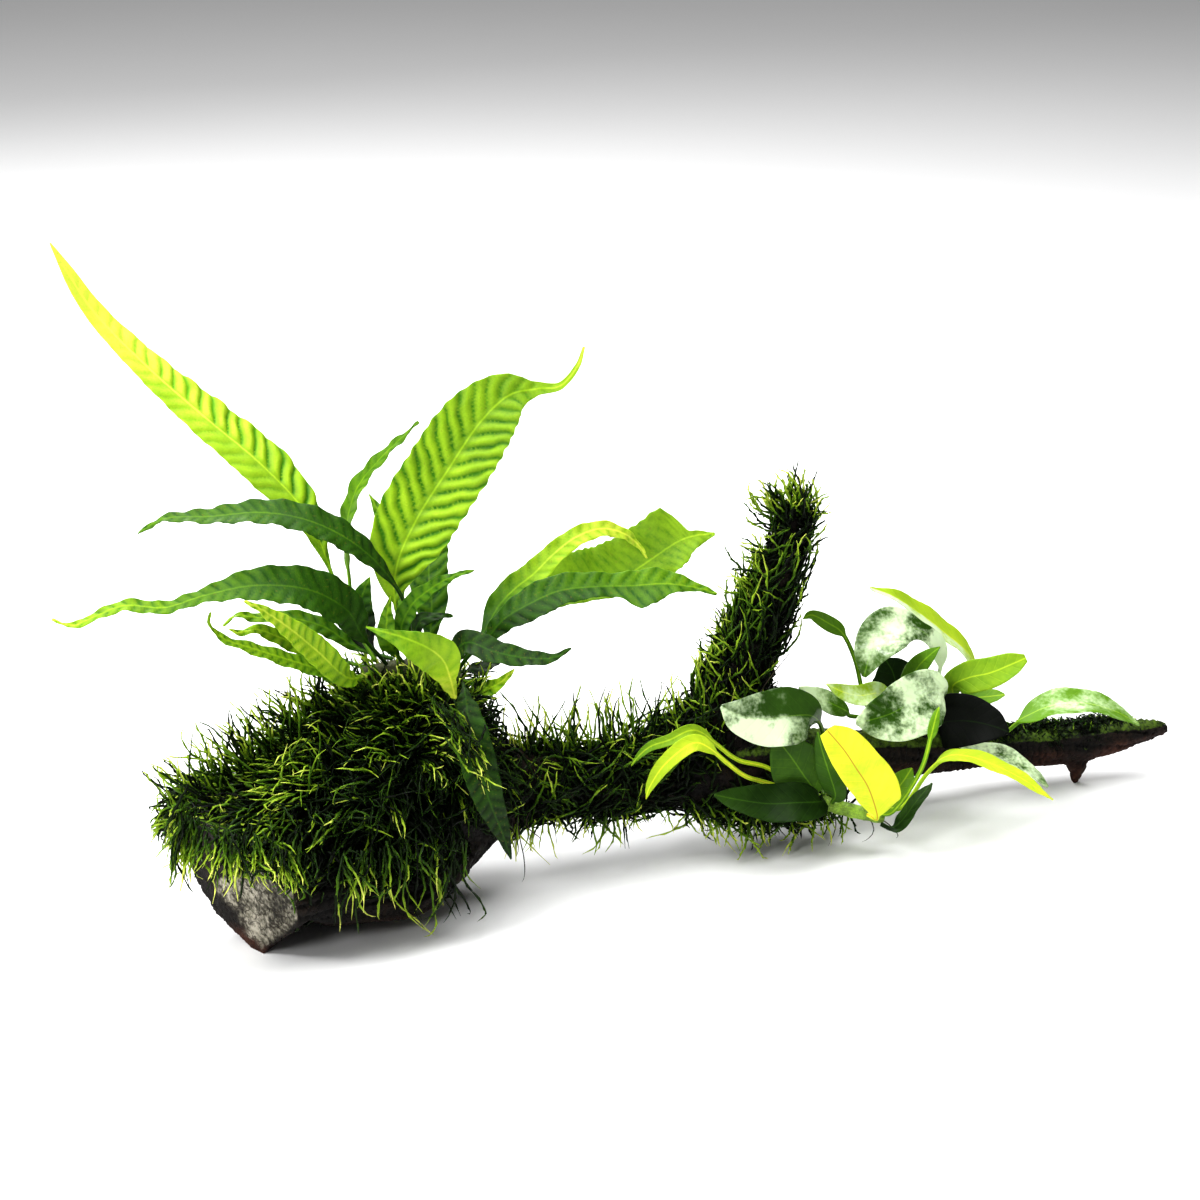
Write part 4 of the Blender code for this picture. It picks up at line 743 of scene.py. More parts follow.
# %% The back anubias
BACK_LEAVES = {
    "veined": dict(
        at=0.53, width=40, turn=(0, 0), stalk=0.42, edges=(OVAL, NARROW_OVAL), tone=(0.3, 0.36, 0.4),
        pale=(0.2, 0.4, 0.5, 0.42), gloss=0.5, quilt=1.8,
        rib=[(936, 702, 100), (945, 690, 84), (930, 692, 74), (910, 703, 67), (892, 713, 62),
             (874, 719, 58), (856, 723, 56)]),
    # The shaded leaf's near-black tone is painted shade, for the shadow it lies in behind the leaves in
    # front.
    "shaded": dict(
        at=0.86, width=32, turn=(0, 10), stalk=0.22, tone=(-0.06, -0.04), gloss=0.0,
        rib=[(944, 734, 116), (934, 726, 107), (945, 722, 100), (967, 721, 94), (989, 725, 90),
             (1009, 732, 87)]),
    "arching": dict(
        at=0.5, width=28, turn=(-30, -20), stalk=0.32, edges=(SPOON_EDGE, SPOON_EDGE),
        tone=(0.34, 0.38, 0.44), gloss=0.5, pale=(0.85, 0.8, 0.6, 0.42, 0.3),
        rib=[(930, 690, 112), (940, 668, 106), (938, 647, 101), (922, 632, 97), (903, 627, 93),
             (886, 634, 89), (872, 651, 85), (864, 677, 82)]),
    "upper_right": dict(
        at=0.84, width=25, turn=(-60, -66), stalk=0.3, tone=(0.75, 0.78, 0.72), pale=(0, 0, 0.05, 0.1),
        pale_left=0.38,
        rib=[(962, 700, 140), (975, 678, 140), (968, 655, 136), (945, 634, 130), (918, 613, 122),
             (893, 597, 115), (870, 588, 111)]),
    "light_right": dict(
        at=0.94, width=19, turn=(10, 10), stalk=0.24, edges=(BLUNT_EDGE, BLUNT_EDGE), tone=(0.62, 0.66),
        gloss=0.1,
        rib=[(955, 702, 120), (953, 686, 114), (968, 678, 111), (990, 673, 109), (1010, 665, 108),
             (1026, 658, 108)]),
    "light_under": dict(
        at=0.97, width=15, turn=(45, 45), stalk=0.2, tone=(0.55, 0.6),
        rib=[(962, 705, 132), (974, 699, 131), (990, 697, 129), (1005, 695, 128)]),
    "pale_right": dict(
        at=1.0, width=30, turn=(60, 64), stalk=0.36, tone=(0.6, 0.56, 0.56), pale=(0, 0.2, 0.34, 0.3),
        rib=[(970, 728, 118), (988, 736, 112), (1006, 732, 108), (1022, 720, 106), (1050, 707, 105),
             (1085, 704, 105), (1115, 712, 106), (1139, 725, 107)]),
    "behind_low_right": dict(
        at=0.96, width=16, turn=(40, 55), stalk=0.3, tone=(0.3, 0.4), pale=(0.35, 0.6, 0.35),
        rib=[(953, 742, 109), (974, 750, 98), (1000, 755, 91), (1024, 767, 87), (1048, 787, 80)]),
    "light_left": dict(
        at=0.22, width=14, turn=(-25, -25), stalk=0.2, tone=(0.74, 0.72), pale=(0.3, 0.34),
        rib=[(884, 704, 96), (878, 694, 88), (860, 696, 81), (842, 692, 77), (826, 684, 75)]),
    "brown_bud": dict(
        at=0.08, width=9, turn=(0, 0), stalk=0.62, tone=(0.5, 0.5),
        rib=[(862, 690, 108), (855, 660, 108), (843, 634, 105), (828, 623, 102), (812, 615, 100),
             (803, 619, 98)]),
    "dark_behind": dict(
        at=0.34, width=28, turn=(20, 20), stalk=0.24, tone=(0.15, 0.2),
        rib=[(893, 700, 122), (896, 686, 124), (893, 672, 126), (885, 658, 128)]),
    "small_middle": dict(
        at=0.4, width=13, turn=(20, 20), stalk=0.3, tone=(0.5, 0.5),
        rib=[(910, 694, 108), (911, 680, 98), (919, 666, 90), (929, 656, 86), (940, 647, 84)]),
    "pale_left": dict(
        at=0.0, width=14, turn=(-30, -30), stalk=0.3, tone=(0.4, 0.5), pale=(0, 0.36, 0.46),
        rib=[(850, 716, 96), (845, 711, 92), (829, 703, 88), (812, 695, 84), (799, 687, 82)]),
}
for name, shape in BACK_LEAVES.items():
    make_leaf("anubias_leaf_" + name, ANUBIAS | {"from": "back"} | shape, LEAF_FINISH, "anubias_leaf")
print("back anubias leaves:", len(BACK_LEAVES))

# %% [markdown]
# ## The driftwood's finish
# The wood is old bark: near black and fissured, with red-brown where it is rubbed, and thin green growth on
# its upper side. Its thick end was sawn, and the cut has dried to a pale, cracked grey. The marks sawn,
# rubbed and grown say how much of each finish a point has. The mark relief says whether a point lies on a
# ridge or in a groove, and paints shade into the grooves and highlights onto the ridges.

# %% Driftwood material
WOOD_FINISH, tree, shader = new_finish("driftwood_bark")
here = place_in(tree)
blotches, specks = use(tree, MOTTLING, "Tone, Specks", Place=here, Blotch_Scale=40.0, Speck_Scale=500.0,
                       Specks=0.6)
cracks, grain = use(tree, FISSURES, "Cracks, Grain", Place=here, Scale=110.0, Width=0.07)
# Painted shade and highlight: the relief mark darkens the grooves and lightens the ridges.
shade = maths(tree, "MULTIPLY_ADD", blotches, 0.8, mark_of(tree, "relief"))
bark = ramp(tree, shade, (0.15, (0.0008, 0.0006, 0.0004)), (0.5, (0.005, 0.003, 0.0018)),
            (0.72, (0.016, 0.009, 0.005)), (1.0, (0.06, 0.036, 0.022)))
red = ramp(tree, shade, (0.2, (0.006, 0.002, 0.001)), (0.55, (0.035, 0.012, 0.007)),
           (0.9, (0.11, 0.04, 0.024)))
pale = ramp(tree, maths(tree, "MULTIPLY_ADD", blotches, 1.2, grain), (0.28, (0.02, 0.017, 0.012)),
            (0.52, (0.13, 0.12, 0.09)), (0.8, (0.4, 0.37, 0.3)))
pale = mix(tree, maths(tree, "MULTIPLY", specks, 0.6), pale, (0.04, 0.05, 0.01))
pale = mix(tree, maths(tree, "MULTIPLY", cracks, 0.85), pale, (0.02, 0.014, 0.01))
growth = ramp(tree, maths(tree, "ADD", blotches, grain), (0.3, (0.006, 0.014, 0.002)),
              (0.7, (0.07, 0.12, 0.01)))
skin = mix(tree, mark_of(tree, "rubbed"), bark, red)
skin = mix(tree, between(tree, maths(tree, "MULTIPLY_ADD", blotches, 0.8, mark_of(tree, "grown")), 0.4, 0.65),
           skin, growth)
skin = mix(tree, mark_of(tree, "sawn"), skin, pale)
height = maths(tree, "MULTIPLY_ADD", cracks, -1.0, maths(tree, "MULTIPLY", grain, 0.8))
bump = add(tree, "Bump", Strength=0.6, Distance=0.0012, Height=height)
into(tree, shader, Base_Color=skin, Roughness=maths(tree, "MULTIPLY_ADD", grain, 0.4, 0.5), Normal=bump,
     Specular_IOR_Level=0.2)
print("wood finish:", len(tree.nodes), "nodes")

# %% [markdown]
# ## One piece of driftwood
# The plain trunk and its two limbs are joined, remeshed into small even cells and worked like clay: slow
# noise makes the wood lumpy, ridged noise stretched along the limb cuts fissures, and fine noise roughens the
# rest. The sawn face stays flat apart from its cracks.

# %% Lines through the trunk and the limbs
LIMBS = [
    [(-109, -101, 42), (-64, -71, 42), (-26, -38, 44), (12, -6, 52), (44, 8, 57), spot(560, 783, 32),
     spot(680, 772, 60), spot(785, 757, 88), spot(930, 752, 128), spot(1060, 745, 155), spot(1166, 728, 171)],
    [spot(712, 757, 72), spot(742, 668, 78), spot(763, 610, 80), spot(796, 510, 84)],
]
SAW_POINT = np.array([-67.0, -68.0, 42.0])
SAW_TURN, SAW_LEAN = math.radians(-45), math.radians(6)
SAW_FACING = np.array([math.sin(SAW_TURN) * math.cos(SAW_LEAN), -math.cos(SAW_TURN) * math.cos(SAW_LEAN),
                       -math.sin(SAW_LEAN)])


def limb_places(points):
    """For each point, the distance along its limb and the way out from the limb's line."""
    best = np.full(len(points), 1e9)
    length, arm = np.zeros(len(points)), np.zeros((len(points), 3))
    for number, limb in enumerate(LIMBS):
        line = np.array([np.array(p, dtype=float) for p in limb])
        t, whole = even_places(line, 160)
        nodes = curve(line, t)
        for k, node in enumerate(nodes):
            away = np.linalg.norm(points - node, axis=1)
            near = away < best
            best[near] = away[near]
            length[near] = whole * k / 159 + 900 * number
            arm[near] = points[near] - node
    return length, arm


def noises(places, scale, seed=0.0):
    """Smooth noise from about -1 to 1 at each place, which is in millimetres."""
    shift = Vector((seed, seed * 0.7, seed * 1.3))
    return np.array([noise.noise(Vector(p) * scale + shift) for p in places])


# %% Join and remesh the wood
def plain_points(nodes):
    """The joined points and triangles of plain nodes, in millimetres."""
    points, faces, start = [], [], 0
    for node in nodes:
        mesh = frame["nodes"][node].data
        mesh.calc_loop_triangles()
        points.append(np.array([v.co for v in mesh.vertices]) / MM)
        faces.append(np.array([t.vertices for t in mesh.loop_triangles]) + start)
        start += len(mesh.vertices)
    return np.vstack(points), np.vstack(faces)


def remeshed(name, points, faces, cell, swell=0.0):
    """The points, faces and normals of a shape rebuilt from cells of one size, in millimetres."""
    mesh = bpy.data.meshes.new(name)
    mesh.from_pydata(points.tolist(), [], faces.tolist())
    rough = bpy.data.objects.new(name, mesh)
    bpy.context.scene.collection.objects.link(rough)
    weld = rough.modifiers.new("weld", "WELD")
    weld.merge_threshold = 0.01
    if swell:
        grow = rough.modifiers.new("swell", "DISPLACE")
        grow.strength, grow.mid_level = swell, 0
    cells = rough.modifiers.new("cells", "REMESH")
    cells.mode, cells.voxel_size = "VOXEL", cell
    soft = rough.modifiers.new("soften", "SMOOTH")
    soft.iterations = 3
    built = bpy.data.meshes.new_from_object(rough.evaluated_get(bpy.context.evaluated_depsgraph_get()))
    bpy.data.objects.remove(rough)
    return (np.array([v.co for v in built.vertices]), np.array([p.vertices for p in built.polygons]),
            np.array([v.normal for v in built.vertices]))


WOODS = ("driftwood_trunk", "driftwood_long_branch", "driftwood_upright_branch")
wood, wood_faces, wood_normals = remeshed("wood", *plain_points(WOODS), cell=1.5, swell=0.3)
print("wood cells:", len(wood_faces))

# %% Carve the bark
length, arm = limb_places(wood)
drawn_out = arm + length[:, None] * np.array([0.03, 0.05, 0.16])
ridges = 1 - np.abs(noises(drawn_out, 0.11, 3.0)) * 2
fine_ridges = 1 - np.abs(noises(drawn_out, 0.3, 8.0)) * 2
lumps = noises(wood, 0.045, 1.0)
grit = noises(wood, 0.6, 5.0)
off_saw = (wood - SAW_POINT) @ SAW_FACING
sawn = smoothstep(-2.2, -0.8, off_saw) * smoothstep(0.75, 0.9, wood_normals @ SAW_FACING)
carving = 1.5 * lumps - 2.2 * np.clip(ridges, 0, 1) ** 5 - 0.9 * np.clip(fine_ridges, 0, 1) ** 4 + 0.35 * grit
flat = 0.25 * grit - 0.5 * np.clip(fine_ridges, 0, 1) ** 6
bottom = smoothstep(0.0, 6.0, wood[:, 2])
shift = (carving * (1 - sawn) + flat * sawn) * bottom
wood = wood + wood_normals * shift[:, None]
wood[:, 2] = np.maximum(wood[:, 2], 0.0)
print("bark relief from", round(shift.min(), 1), "to", round(shift.max(), 1), "mm")

# %% The outline of the bare cut
CUT_OUTLINE = np.array([(221, 878), (263, 870), (294, 870), (302, 902), (300, 917), (281, 936), (263, 946),
                        (249, 936), (239, 917), (223, 897), (215, 886)], dtype=float)


def seen_at(points):
    """The pixels at which points are seen: the inverse of spot."""
    ray = points - EYE
    scale = VIEW_DISTANCE / PIXEL_MM / -(ray @ TO_VIEWER)
    return np.stack([PHOTO_SIDE / 2 + ray[:, 0] * scale, PHOTO_SIDE / 2 - (ray @ VIEW_UP) * scale], axis=-1)


def depth_inside(pixels, outline):
    """How many pixels each place lies inside an outline; outside it is below 0."""
    best, inside = np.full(len(pixels), 1e9), np.zeros(len(pixels), dtype=bool)
    for a, b in zip(outline, np.roll(outline, -1, axis=0)):
        along = np.clip((pixels - a) @ (b - a) / ((b - a) @ (b - a)), 0, 1)[:, None]
        best = np.minimum(best, np.linalg.norm(pixels - a - along * (b - a), axis=1))
        crossed = (a[1] > pixels[:, 1]) != (b[1] > pixels[:, 1])
        at_height = a[0] + (pixels[:, 1] - a[1]) * (b[0] - a[0]) / (b[1] - a[1] + 1e-9)
        inside ^= crossed & (pixels[:, 0] < at_height)
    return np.where(inside, best, -best)


cut_depth = depth_inside(seen_at(wood), CUT_OUTLINE) + 3.5 * noises(wood, 0.25, 2.0)
print("points on the bare cut:", int((cut_depth > 0).sum()))

# %% Colour marks for the wood
# Painted shade in the grooves and painted highlight on the ridges of the bark.
painted_relief_shade = np.clip(0.55 + 0.16 * shift, 0, 1)
on_face = smoothstep(-2.5, 2.5, cut_depth)
toe = smoothstep(12, 2, wood[:, 2] + 5 * lumps) * smoothstep(-20, -60, wood[:, 0])
lip = smoothstep(20, 8, wood[:, 2] + 4 * lumps) * smoothstep(-60, 20, wood[:, 0]) * smoothstep(140, 60,
                                                                                               wood[:, 0])
spike = smoothstep(250, 330, wood[:, 0]) * smoothstep(0.2, -0.5, wood_normals[:, 2] - 0.4 * lumps)
grown = 0.7 * smoothstep(0.1, 0.8, wood_normals[:, 2]) * smoothstep(90, 160, wood[:, 0])
marks = {"sawn": sawn * on_face, "rubbed": np.clip(toe * 0.8 + lip * 0.5 + spike * 0.7, 0, 1),
         "grown": grown * (1 - sawn), "relief": painted_relief_shade}
bark_piece = piece_from("driftwood_bark", wood, wood_faces, WOOD_FINISH, marks)
keep(bark_piece, "driftwood", *WOODS)
print("driftwood:", len(bark_piece.data.polygons), "faces")

# %% [markdown]
# ## The rhizomes
# Ferns and anubias grow from rhizomes: creeping stems as thick as a pencil. The fern's is brown-green and
# scaly, the anubias ones are smooth and fresh green with rings where old leaves fell off. Both are small and
# half hidden, so the plain solids are rebuilt from fine cells and given rings and grit.

# %% Rhizome materials
def rhizome_finish(name, dark, light, roughness):
    material, tree, shader = new_finish(name)
    place = place_in(tree)
    blotches = use(tree, MOTTLING, "Tone", Place=place, Blotch_Scale=120.0, Speck_Scale=900.0, Specks=0.6)
    cracks = use(tree, FISSURES, "Cracks", Place=place, Scale=350.0, Width=0.1)
    base = ramp(tree, maths(tree, "ADD", blotches, 0.5), (0.3, dark), (0.7, light))
    rise = add(tree, "Bump", Strength=0.5, Distance=0.0008, Height=maths(tree, "MULTIPLY", cracks, -1.0))
    into(tree, shader, Base_Color=mix(tree, maths(tree, "MULTIPLY", cracks, 0.6), base, dark),
         Roughness=maths(tree, "MULTIPLY_ADD", blotches, 0.3, roughness), Normal=rise)
    return material


FERN_RHIZOME_FINISH = rhizome_finish("fern_rhizome_scales", (0.012, 0.01, 0.004), (0.07, 0.08, 0.02), 0.7)
ANUBIAS_RHIZOME_FINISH = rhizome_finish("anubias_rhizome_skin", (0.07, 0.13, 0.01), (0.3, 0.5, 0.04), 0.45)
print("two rhizome finishes")

# %% Rebuild the rhizomes
for node, finish, material_slot, rhizome in (
        ("fern_rhizome", FERN_RHIZOME_FINISH, "fern_rhizome", "fern"),
        ("anubias_rhizome_front", ANUBIAS_RHIZOME_FINISH, "anubias_rhizome", "front"),
        ("anubias_rhizome_back", ANUBIAS_RHIZOME_FINISH, "anubias_rhizome", "back")):
    places, faces, outwards = remeshed(node, *plain_points([node]), cell=0.7, swell=0.2)
    rings = 0.35 * np.abs(np.sin(places[:, 0] * 0.45)) + 0.3 * noises(places, 0.5)
    piece = piece_from(node + "_skin", places + outwards * rings[:, None], faces, finish, {})
    keep(piece, material_slot, node)
print("rhizomes: 3")

# %% [markdown]
# ## The moss's finish
# Java moss is a tangle of stems as long as a finger joint, each set with tiny overlapping leaves. Old stems
# are deep green, and painted shade makes the carpet nearly black near the wood. New tips glow yellow-green.
# Two marks carry this: tip runs from 0 at a stem's root to 1 at its end, so that the roots are darker, partly
# by the stem's own colour and partly as painted shade; fresh says how young the stem is, and also carries
# painted light on the upper left.

# %% Moss material
MOSS_FINISH, tree, shader = new_finish("java_moss_stems")
blotches = use(tree, MOTTLING, "Tone", Place=place_in(tree), Blotch_Scale=45.0, Speck_Scale=700.0,
               Specks=0.5)
# Painted shade: roots and old stems fall to near black.
tone = maths(tree, "MULTIPLY", mark_of(tree, "fresh"),
             maths(tree, "MULTIPLY_ADD", mark_of(tree, "tip"), 0.75, 0.25))
tone = maths(tree, "MULTIPLY_ADD", blotches, 0.3, tone)
green = ramp(tree, tone, (0.0, (0.0006, 0.0015, 0.0003)), (0.25, (0.008, 0.022, 0.0016)),
             (0.5, (0.06, 0.135, 0.006)), (0.75, (0.28, 0.42, 0.025)), (1.0, (0.72, 0.78, 0.16)))
into(tree, shader, Base_Color=green, Roughness=maths(tree, "MULTIPLY_ADD", blotches, 0.3, 0.55),
     Specular_IOR_Level=0.15, Subsurface_Weight=0.1, Subsurface_Radius=LEAF_LIGHT, Subsurface_Scale=0.002)
print("moss finish:", len(tree.nodes), "nodes")

# %% [markdown]
# ## Growing moss stems
# A stem is a thin three-sided tube along a bent line. At each ring another of its three corners is drawn out
# and forwards, which gives the saw-toothed outline of leaflets for very few faces. All stems of a carpet are
# computed together, as arrays with one row for each stem.

# %% Bent lines and toothed tubes
LOWEST = 2.5


def bent_lines(roots, shoulders, necks, tips, rings):
    """Points and directions along a Bezier curve for each stem, at a number of rings."""
    t = np.linspace(0, 1, rings)[None, :, None]
    a, b, c, d = (p[:, None, :] for p in (roots, shoulders, necks, tips))
    line = (1 - t) ** 3 * a + 3 * (1 - t) ** 2 * t * b + 3 * (1 - t) * t ** 2 * c + t ** 3 * d
    way = 3 * (1 - t) ** 2 * (b - a) + 6 * (1 - t) * t * (c - b) + 3 * t ** 2 * (d - c)
    line[..., 2] = np.maximum(line[..., 2], LOWEST)
    return line, unit(way)


def stem_tubes(line, way, thin, wide, draw):
    """Points and faces of three-sided tubes; one corner of each ring is wide and drawn forwards."""
    count, rings = line.shape[:2]
    hint = unit(draw.normal(size=(count, 1, 3)))
    across = unit(np.cross(way, hint))
    other = np.cross(way, across)
    ring, corner = np.meshgrid(np.arange(rings), np.arange(3), indexing="ij")
    toothed = ((ring + corner) % 3 == 0).astype(float)
    taper = (1 - np.linspace(0, 1, rings) ** 4 * 0.85)[:, None]
    radius = (thin + (wide - thin) * toothed) * taper
    angle = 2 * math.pi * corner / 3 + 0.4 * ring
    points = (line[:, :, None, :]
              + across[:, :, None, :] * (np.cos(angle) * radius)[None, :, :, None]
              + other[:, :, None, :] * (np.sin(angle) * radius)[None, :, :, None]
              + way[:, :, None, :] * (toothed * wide * 0.9 * taper)[None, :, :, None])
    start = (np.arange(count) * rings * 3)[:, None, None]
    r, j = np.meshgrid(np.arange(rings - 1), np.arange(3), indexing="ij")
    n = (j + 1) % 3
    quads = np.stack([start + r * 3 + j, start + r * 3 + n, start + (r + 1) * 3 + n, start + (r + 1) * 3 + j],
                     -1)
    ends = np.vstack([start[:, 0] + [[2, 1, 0]], start[:, 0] + rings * 3 + [[-3, -2, -1]]])
    return points.reshape(-1, 3), quads.reshape(-1, 4), ends


def stem_marks(young, rings):
    """The marks of stems: tip along each of them, and fresh the same all along."""
    return {"tip": np.tile(np.repeat(np.linspace(0, 1, rings), 3), len(young)),
            "fresh": np.repeat(young, rings * 3)}


def swaying(roots, tips, bend, rings):
    """Bent lines that leave the straight way from root to tip by two random steps."""
    return bent_lines(roots, roots * 0.66 + tips * 0.34 + bend[0], roots * 0.33 + tips * 0.67 + bend[1], tips,
                      rings)


# %% Scatter points on a carpet's outer skin
def tree_of(nodes):
    points, faces = plain_points(nodes)
    return BVHTree.FromPolygons(points.tolist(), faces.tolist())


WOOD_SKIN = tree_of(WOODS)
CARPETS = ("moss_on_trunk", "moss_on_branch", "moss_on_upright_branch", "moss_under_fork",
           "moss_on_long_branch")
HUGGING = 1.5


def scattered(node, count, draw):
    """Random points on a plain carpet's skin and the way out there, except where it touches others."""
    others = tree_of([n for n in CARPETS + WOODS + ("fern_rhizome",) if n != node])
    mesh = frame["nodes"][node].data
    points, faces = plain_points([node])
    normals = np.array([v.normal for v in mesh.vertices])
    a, b, c = (points[faces[:, k]] for k in range(3))
    area = np.linalg.norm(np.cross(b - a, c - a), axis=1)
    pick = draw.choice(len(faces), size=count * 3, p=area / area.sum())
    u, v = draw.random((2, count * 3))
    u, v = np.where(u + v > 1, 1 - u, u)[:, None], np.where(u + v > 1, 1 - v, v)[:, None]
    spots = a[pick] * (1 - u - v) + b[pick] * u + c[pick] * v
    out = unit(sum(normals[faces[pick, k]] * w for k, w in enumerate((1 - u - v, u, v))))
    free = np.array([others.find_nearest(Vector(p))[3] > HUGGING for p in spots])
    return spots[free][:count], out[free][:count]


# %% Grow a carpet
UP_LEFT = unit(np.array([-0.6, 0.0, 0.8]))


def painted_sunlight(places):
    """How many more bright stems there are here, as painted light: many on the left lobe, and fewer on the
    trunk's right flank, as painted shade.
    """
    across, down = seen_at(places).T
    flank = smoothstep(300, 360, across) * smoothstep(500, 470, across) * smoothstep(740, 800, down)
    return 1 + 3.6 * smoothstep(285, 205, across) - 0.6 * flank


def youth_and_painted_light(places, out, share, oldest, draw):
    """A few stems are young and bright, more of them on the upper left as painted light; the others are old
    and dark.
    """
    count = len(places)
    young = draw.random(count) < share * (1 + 1.1 * (out @ UP_LEFT)) * painted_sunlight(places)
    return np.where(young, draw.uniform(0.5, 1.0, count), draw.uniform(0.0, oldest, count))


def grown_carpet(name, node, count, draw, length, inset, outward, hang, spread, away_from, rings, thin, wide,
                 fresh, oldest, clumped):
    """Stems that start on the wood, end near the carpet's skin and lean from the point away_from."""
    tips, out = scattered(node, count, draw)
    stays = draw.random(len(tips)) < 1 - clumped * (0.45 - 1.4 * noises(tips, 0.07, 4.0))
    tips, out = tips[stays], out[stays]
    count = len(tips)
    tips = tips - out * draw.uniform(*inset, size=(count, 1))
    swirl = np.stack([noises(tips, 0.035, seed) for seed in (1.0, 5.0, 9.0)], axis=-1)
    lean = unit(tips - np.array(away_from)) + hang * np.array([0, 0,
                                                               -1.0]) + spread * draw.normal(size=(count, 3))
    lean = lean + 1.3 * swirl
    lean = unit(lean - out * np.einsum("ij,ij->i", lean, out)[:, None])
    size = draw.uniform(*length, size=(count, 1))
    wanted = tips - lean * size * 0.8 - out * 8
    roots = np.array([WOOD_SKIN.find_nearest(Vector(p))[0] for p in wanted])
    bark_out = np.array([WOOD_SKIN.find_nearest(Vector(p))[1] for p in wanted])
    span = np.linalg.norm(tips - roots, axis=1)[:, None]
    near = span[:, 0] < length[1] * 1.5
    heading = unit(lean + out * outward + 0.5 * draw.normal(size=(count, 3)))
    shoulders = roots + (bark_out * 0.5 + 0.25 * lean + 0.15 * draw.normal(size=(count, 3))) * span * 0.5
    necks = tips - heading * span * 0.4
    line, way = bent_lines(roots[near], shoulders[near], necks[near], tips[near], rings)
    points, quads, ends = stem_tubes(line, way, thin, wide, draw)
    bright = youth_and_painted_light(tips, out, fresh, oldest, draw)[near]
    piece = piece_from(name, points, quads, MOSS_FINISH, stem_marks(bright, rings), ends.tolist())
    print(name, near.sum(), "stems", len(quads) * 2, "triangles")
    return piece


# %% The moss on the wood
draw = np.random.default_rng(11)
LONG = dict(length=(22, 46), rings=13, thin=0.55, wide=1.45, oldest=0.42, clumped=1.0)
SHORT = dict(length=(12, 22), rings=7, thin=0.6, wide=1.5, oldest=0.22, clumped=0.3)
LOW = dict(length=(5, 9), rings=5, thin=0.35, wide=0.9, oldest=0.28, clumped=0.8)
CROWN, ALONG_BRANCH, FORK = spot(420, 690, -10), spot(600, 785, 40), spot(740, 700, 78)
BELOW_FORK, ON_LONG_BRANCH = spot(770, 780, 70), spot(1070, 760, 156)
# The undergrowth gets few fresh stems, and SHORT keeps its old ones darker, so it stays nearly black: painted
# shade deep inside the carpet.
GROWTH = [
    ("moss_on_trunk", "strands", 3900, (-5, 6), 0.5, 0.3, 0.6, CROWN, 0.3, LONG),
    ("moss_on_trunk", "undergrowth", 2600, (5, 11), 0.5, 0.3, 0.7, CROWN, 0.03, SHORT),
    ("moss_on_branch", "strands", 1250, (-6, 4), 0.9, 0.0, 0.9, ALONG_BRANCH, 0.3, LONG),
    ("moss_on_branch", "undergrowth", 1500, (4, 9), 0.6, 0.0, 0.9, ALONG_BRANCH, 0.04, SHORT),
    ("moss_on_upright_branch", "strands", 700, (-6, 3), 0.9, -0.5, 0.7, FORK, 0.5, LONG),
    ("moss_on_upright_branch", "undergrowth", 750, (3, 7), 0.6, -0.3, 0.8, FORK, 0.06, SHORT),
    ("moss_under_fork", "strands", 560, (-4, 4), 0.7, 0.2, 0.9, BELOW_FORK, 0.3, LONG),
    ("moss_under_fork", "undergrowth", 600, (3, 7), 0.5, 0.2, 0.8, BELOW_FORK, 0.04, SHORT),
    ("moss_on_long_branch", "tufts", 1300, (0, 3), 1.0, 0.0, 0.9, ON_LONG_BRANCH, 0.05, LOW),
]
for node, layer, count, inset, outward, hang, spread, away_from, fresh, stems in GROWTH:
    carpet = grown_carpet(f"{node}_{layer}", node, count, draw, inset=inset, outward=outward, hang=hang,
                          spread=spread, away_from=away_from, fresh=fresh, **stems)
    replaced = [] if layer == "undergrowth" else [node]
    keep(carpet, "java_moss", *replaced)

# %% [markdown]
# ## Wisps
# Where the carpets meet the light, longer stems break their outline: they stand between the fern's stalks,
# fan out on the upright branch, and hang over the cut and below the wood. Each spray is a line of roots and a
# line of tips, with the number of its stems. Random steps from both lines keep the stems from looking combed.

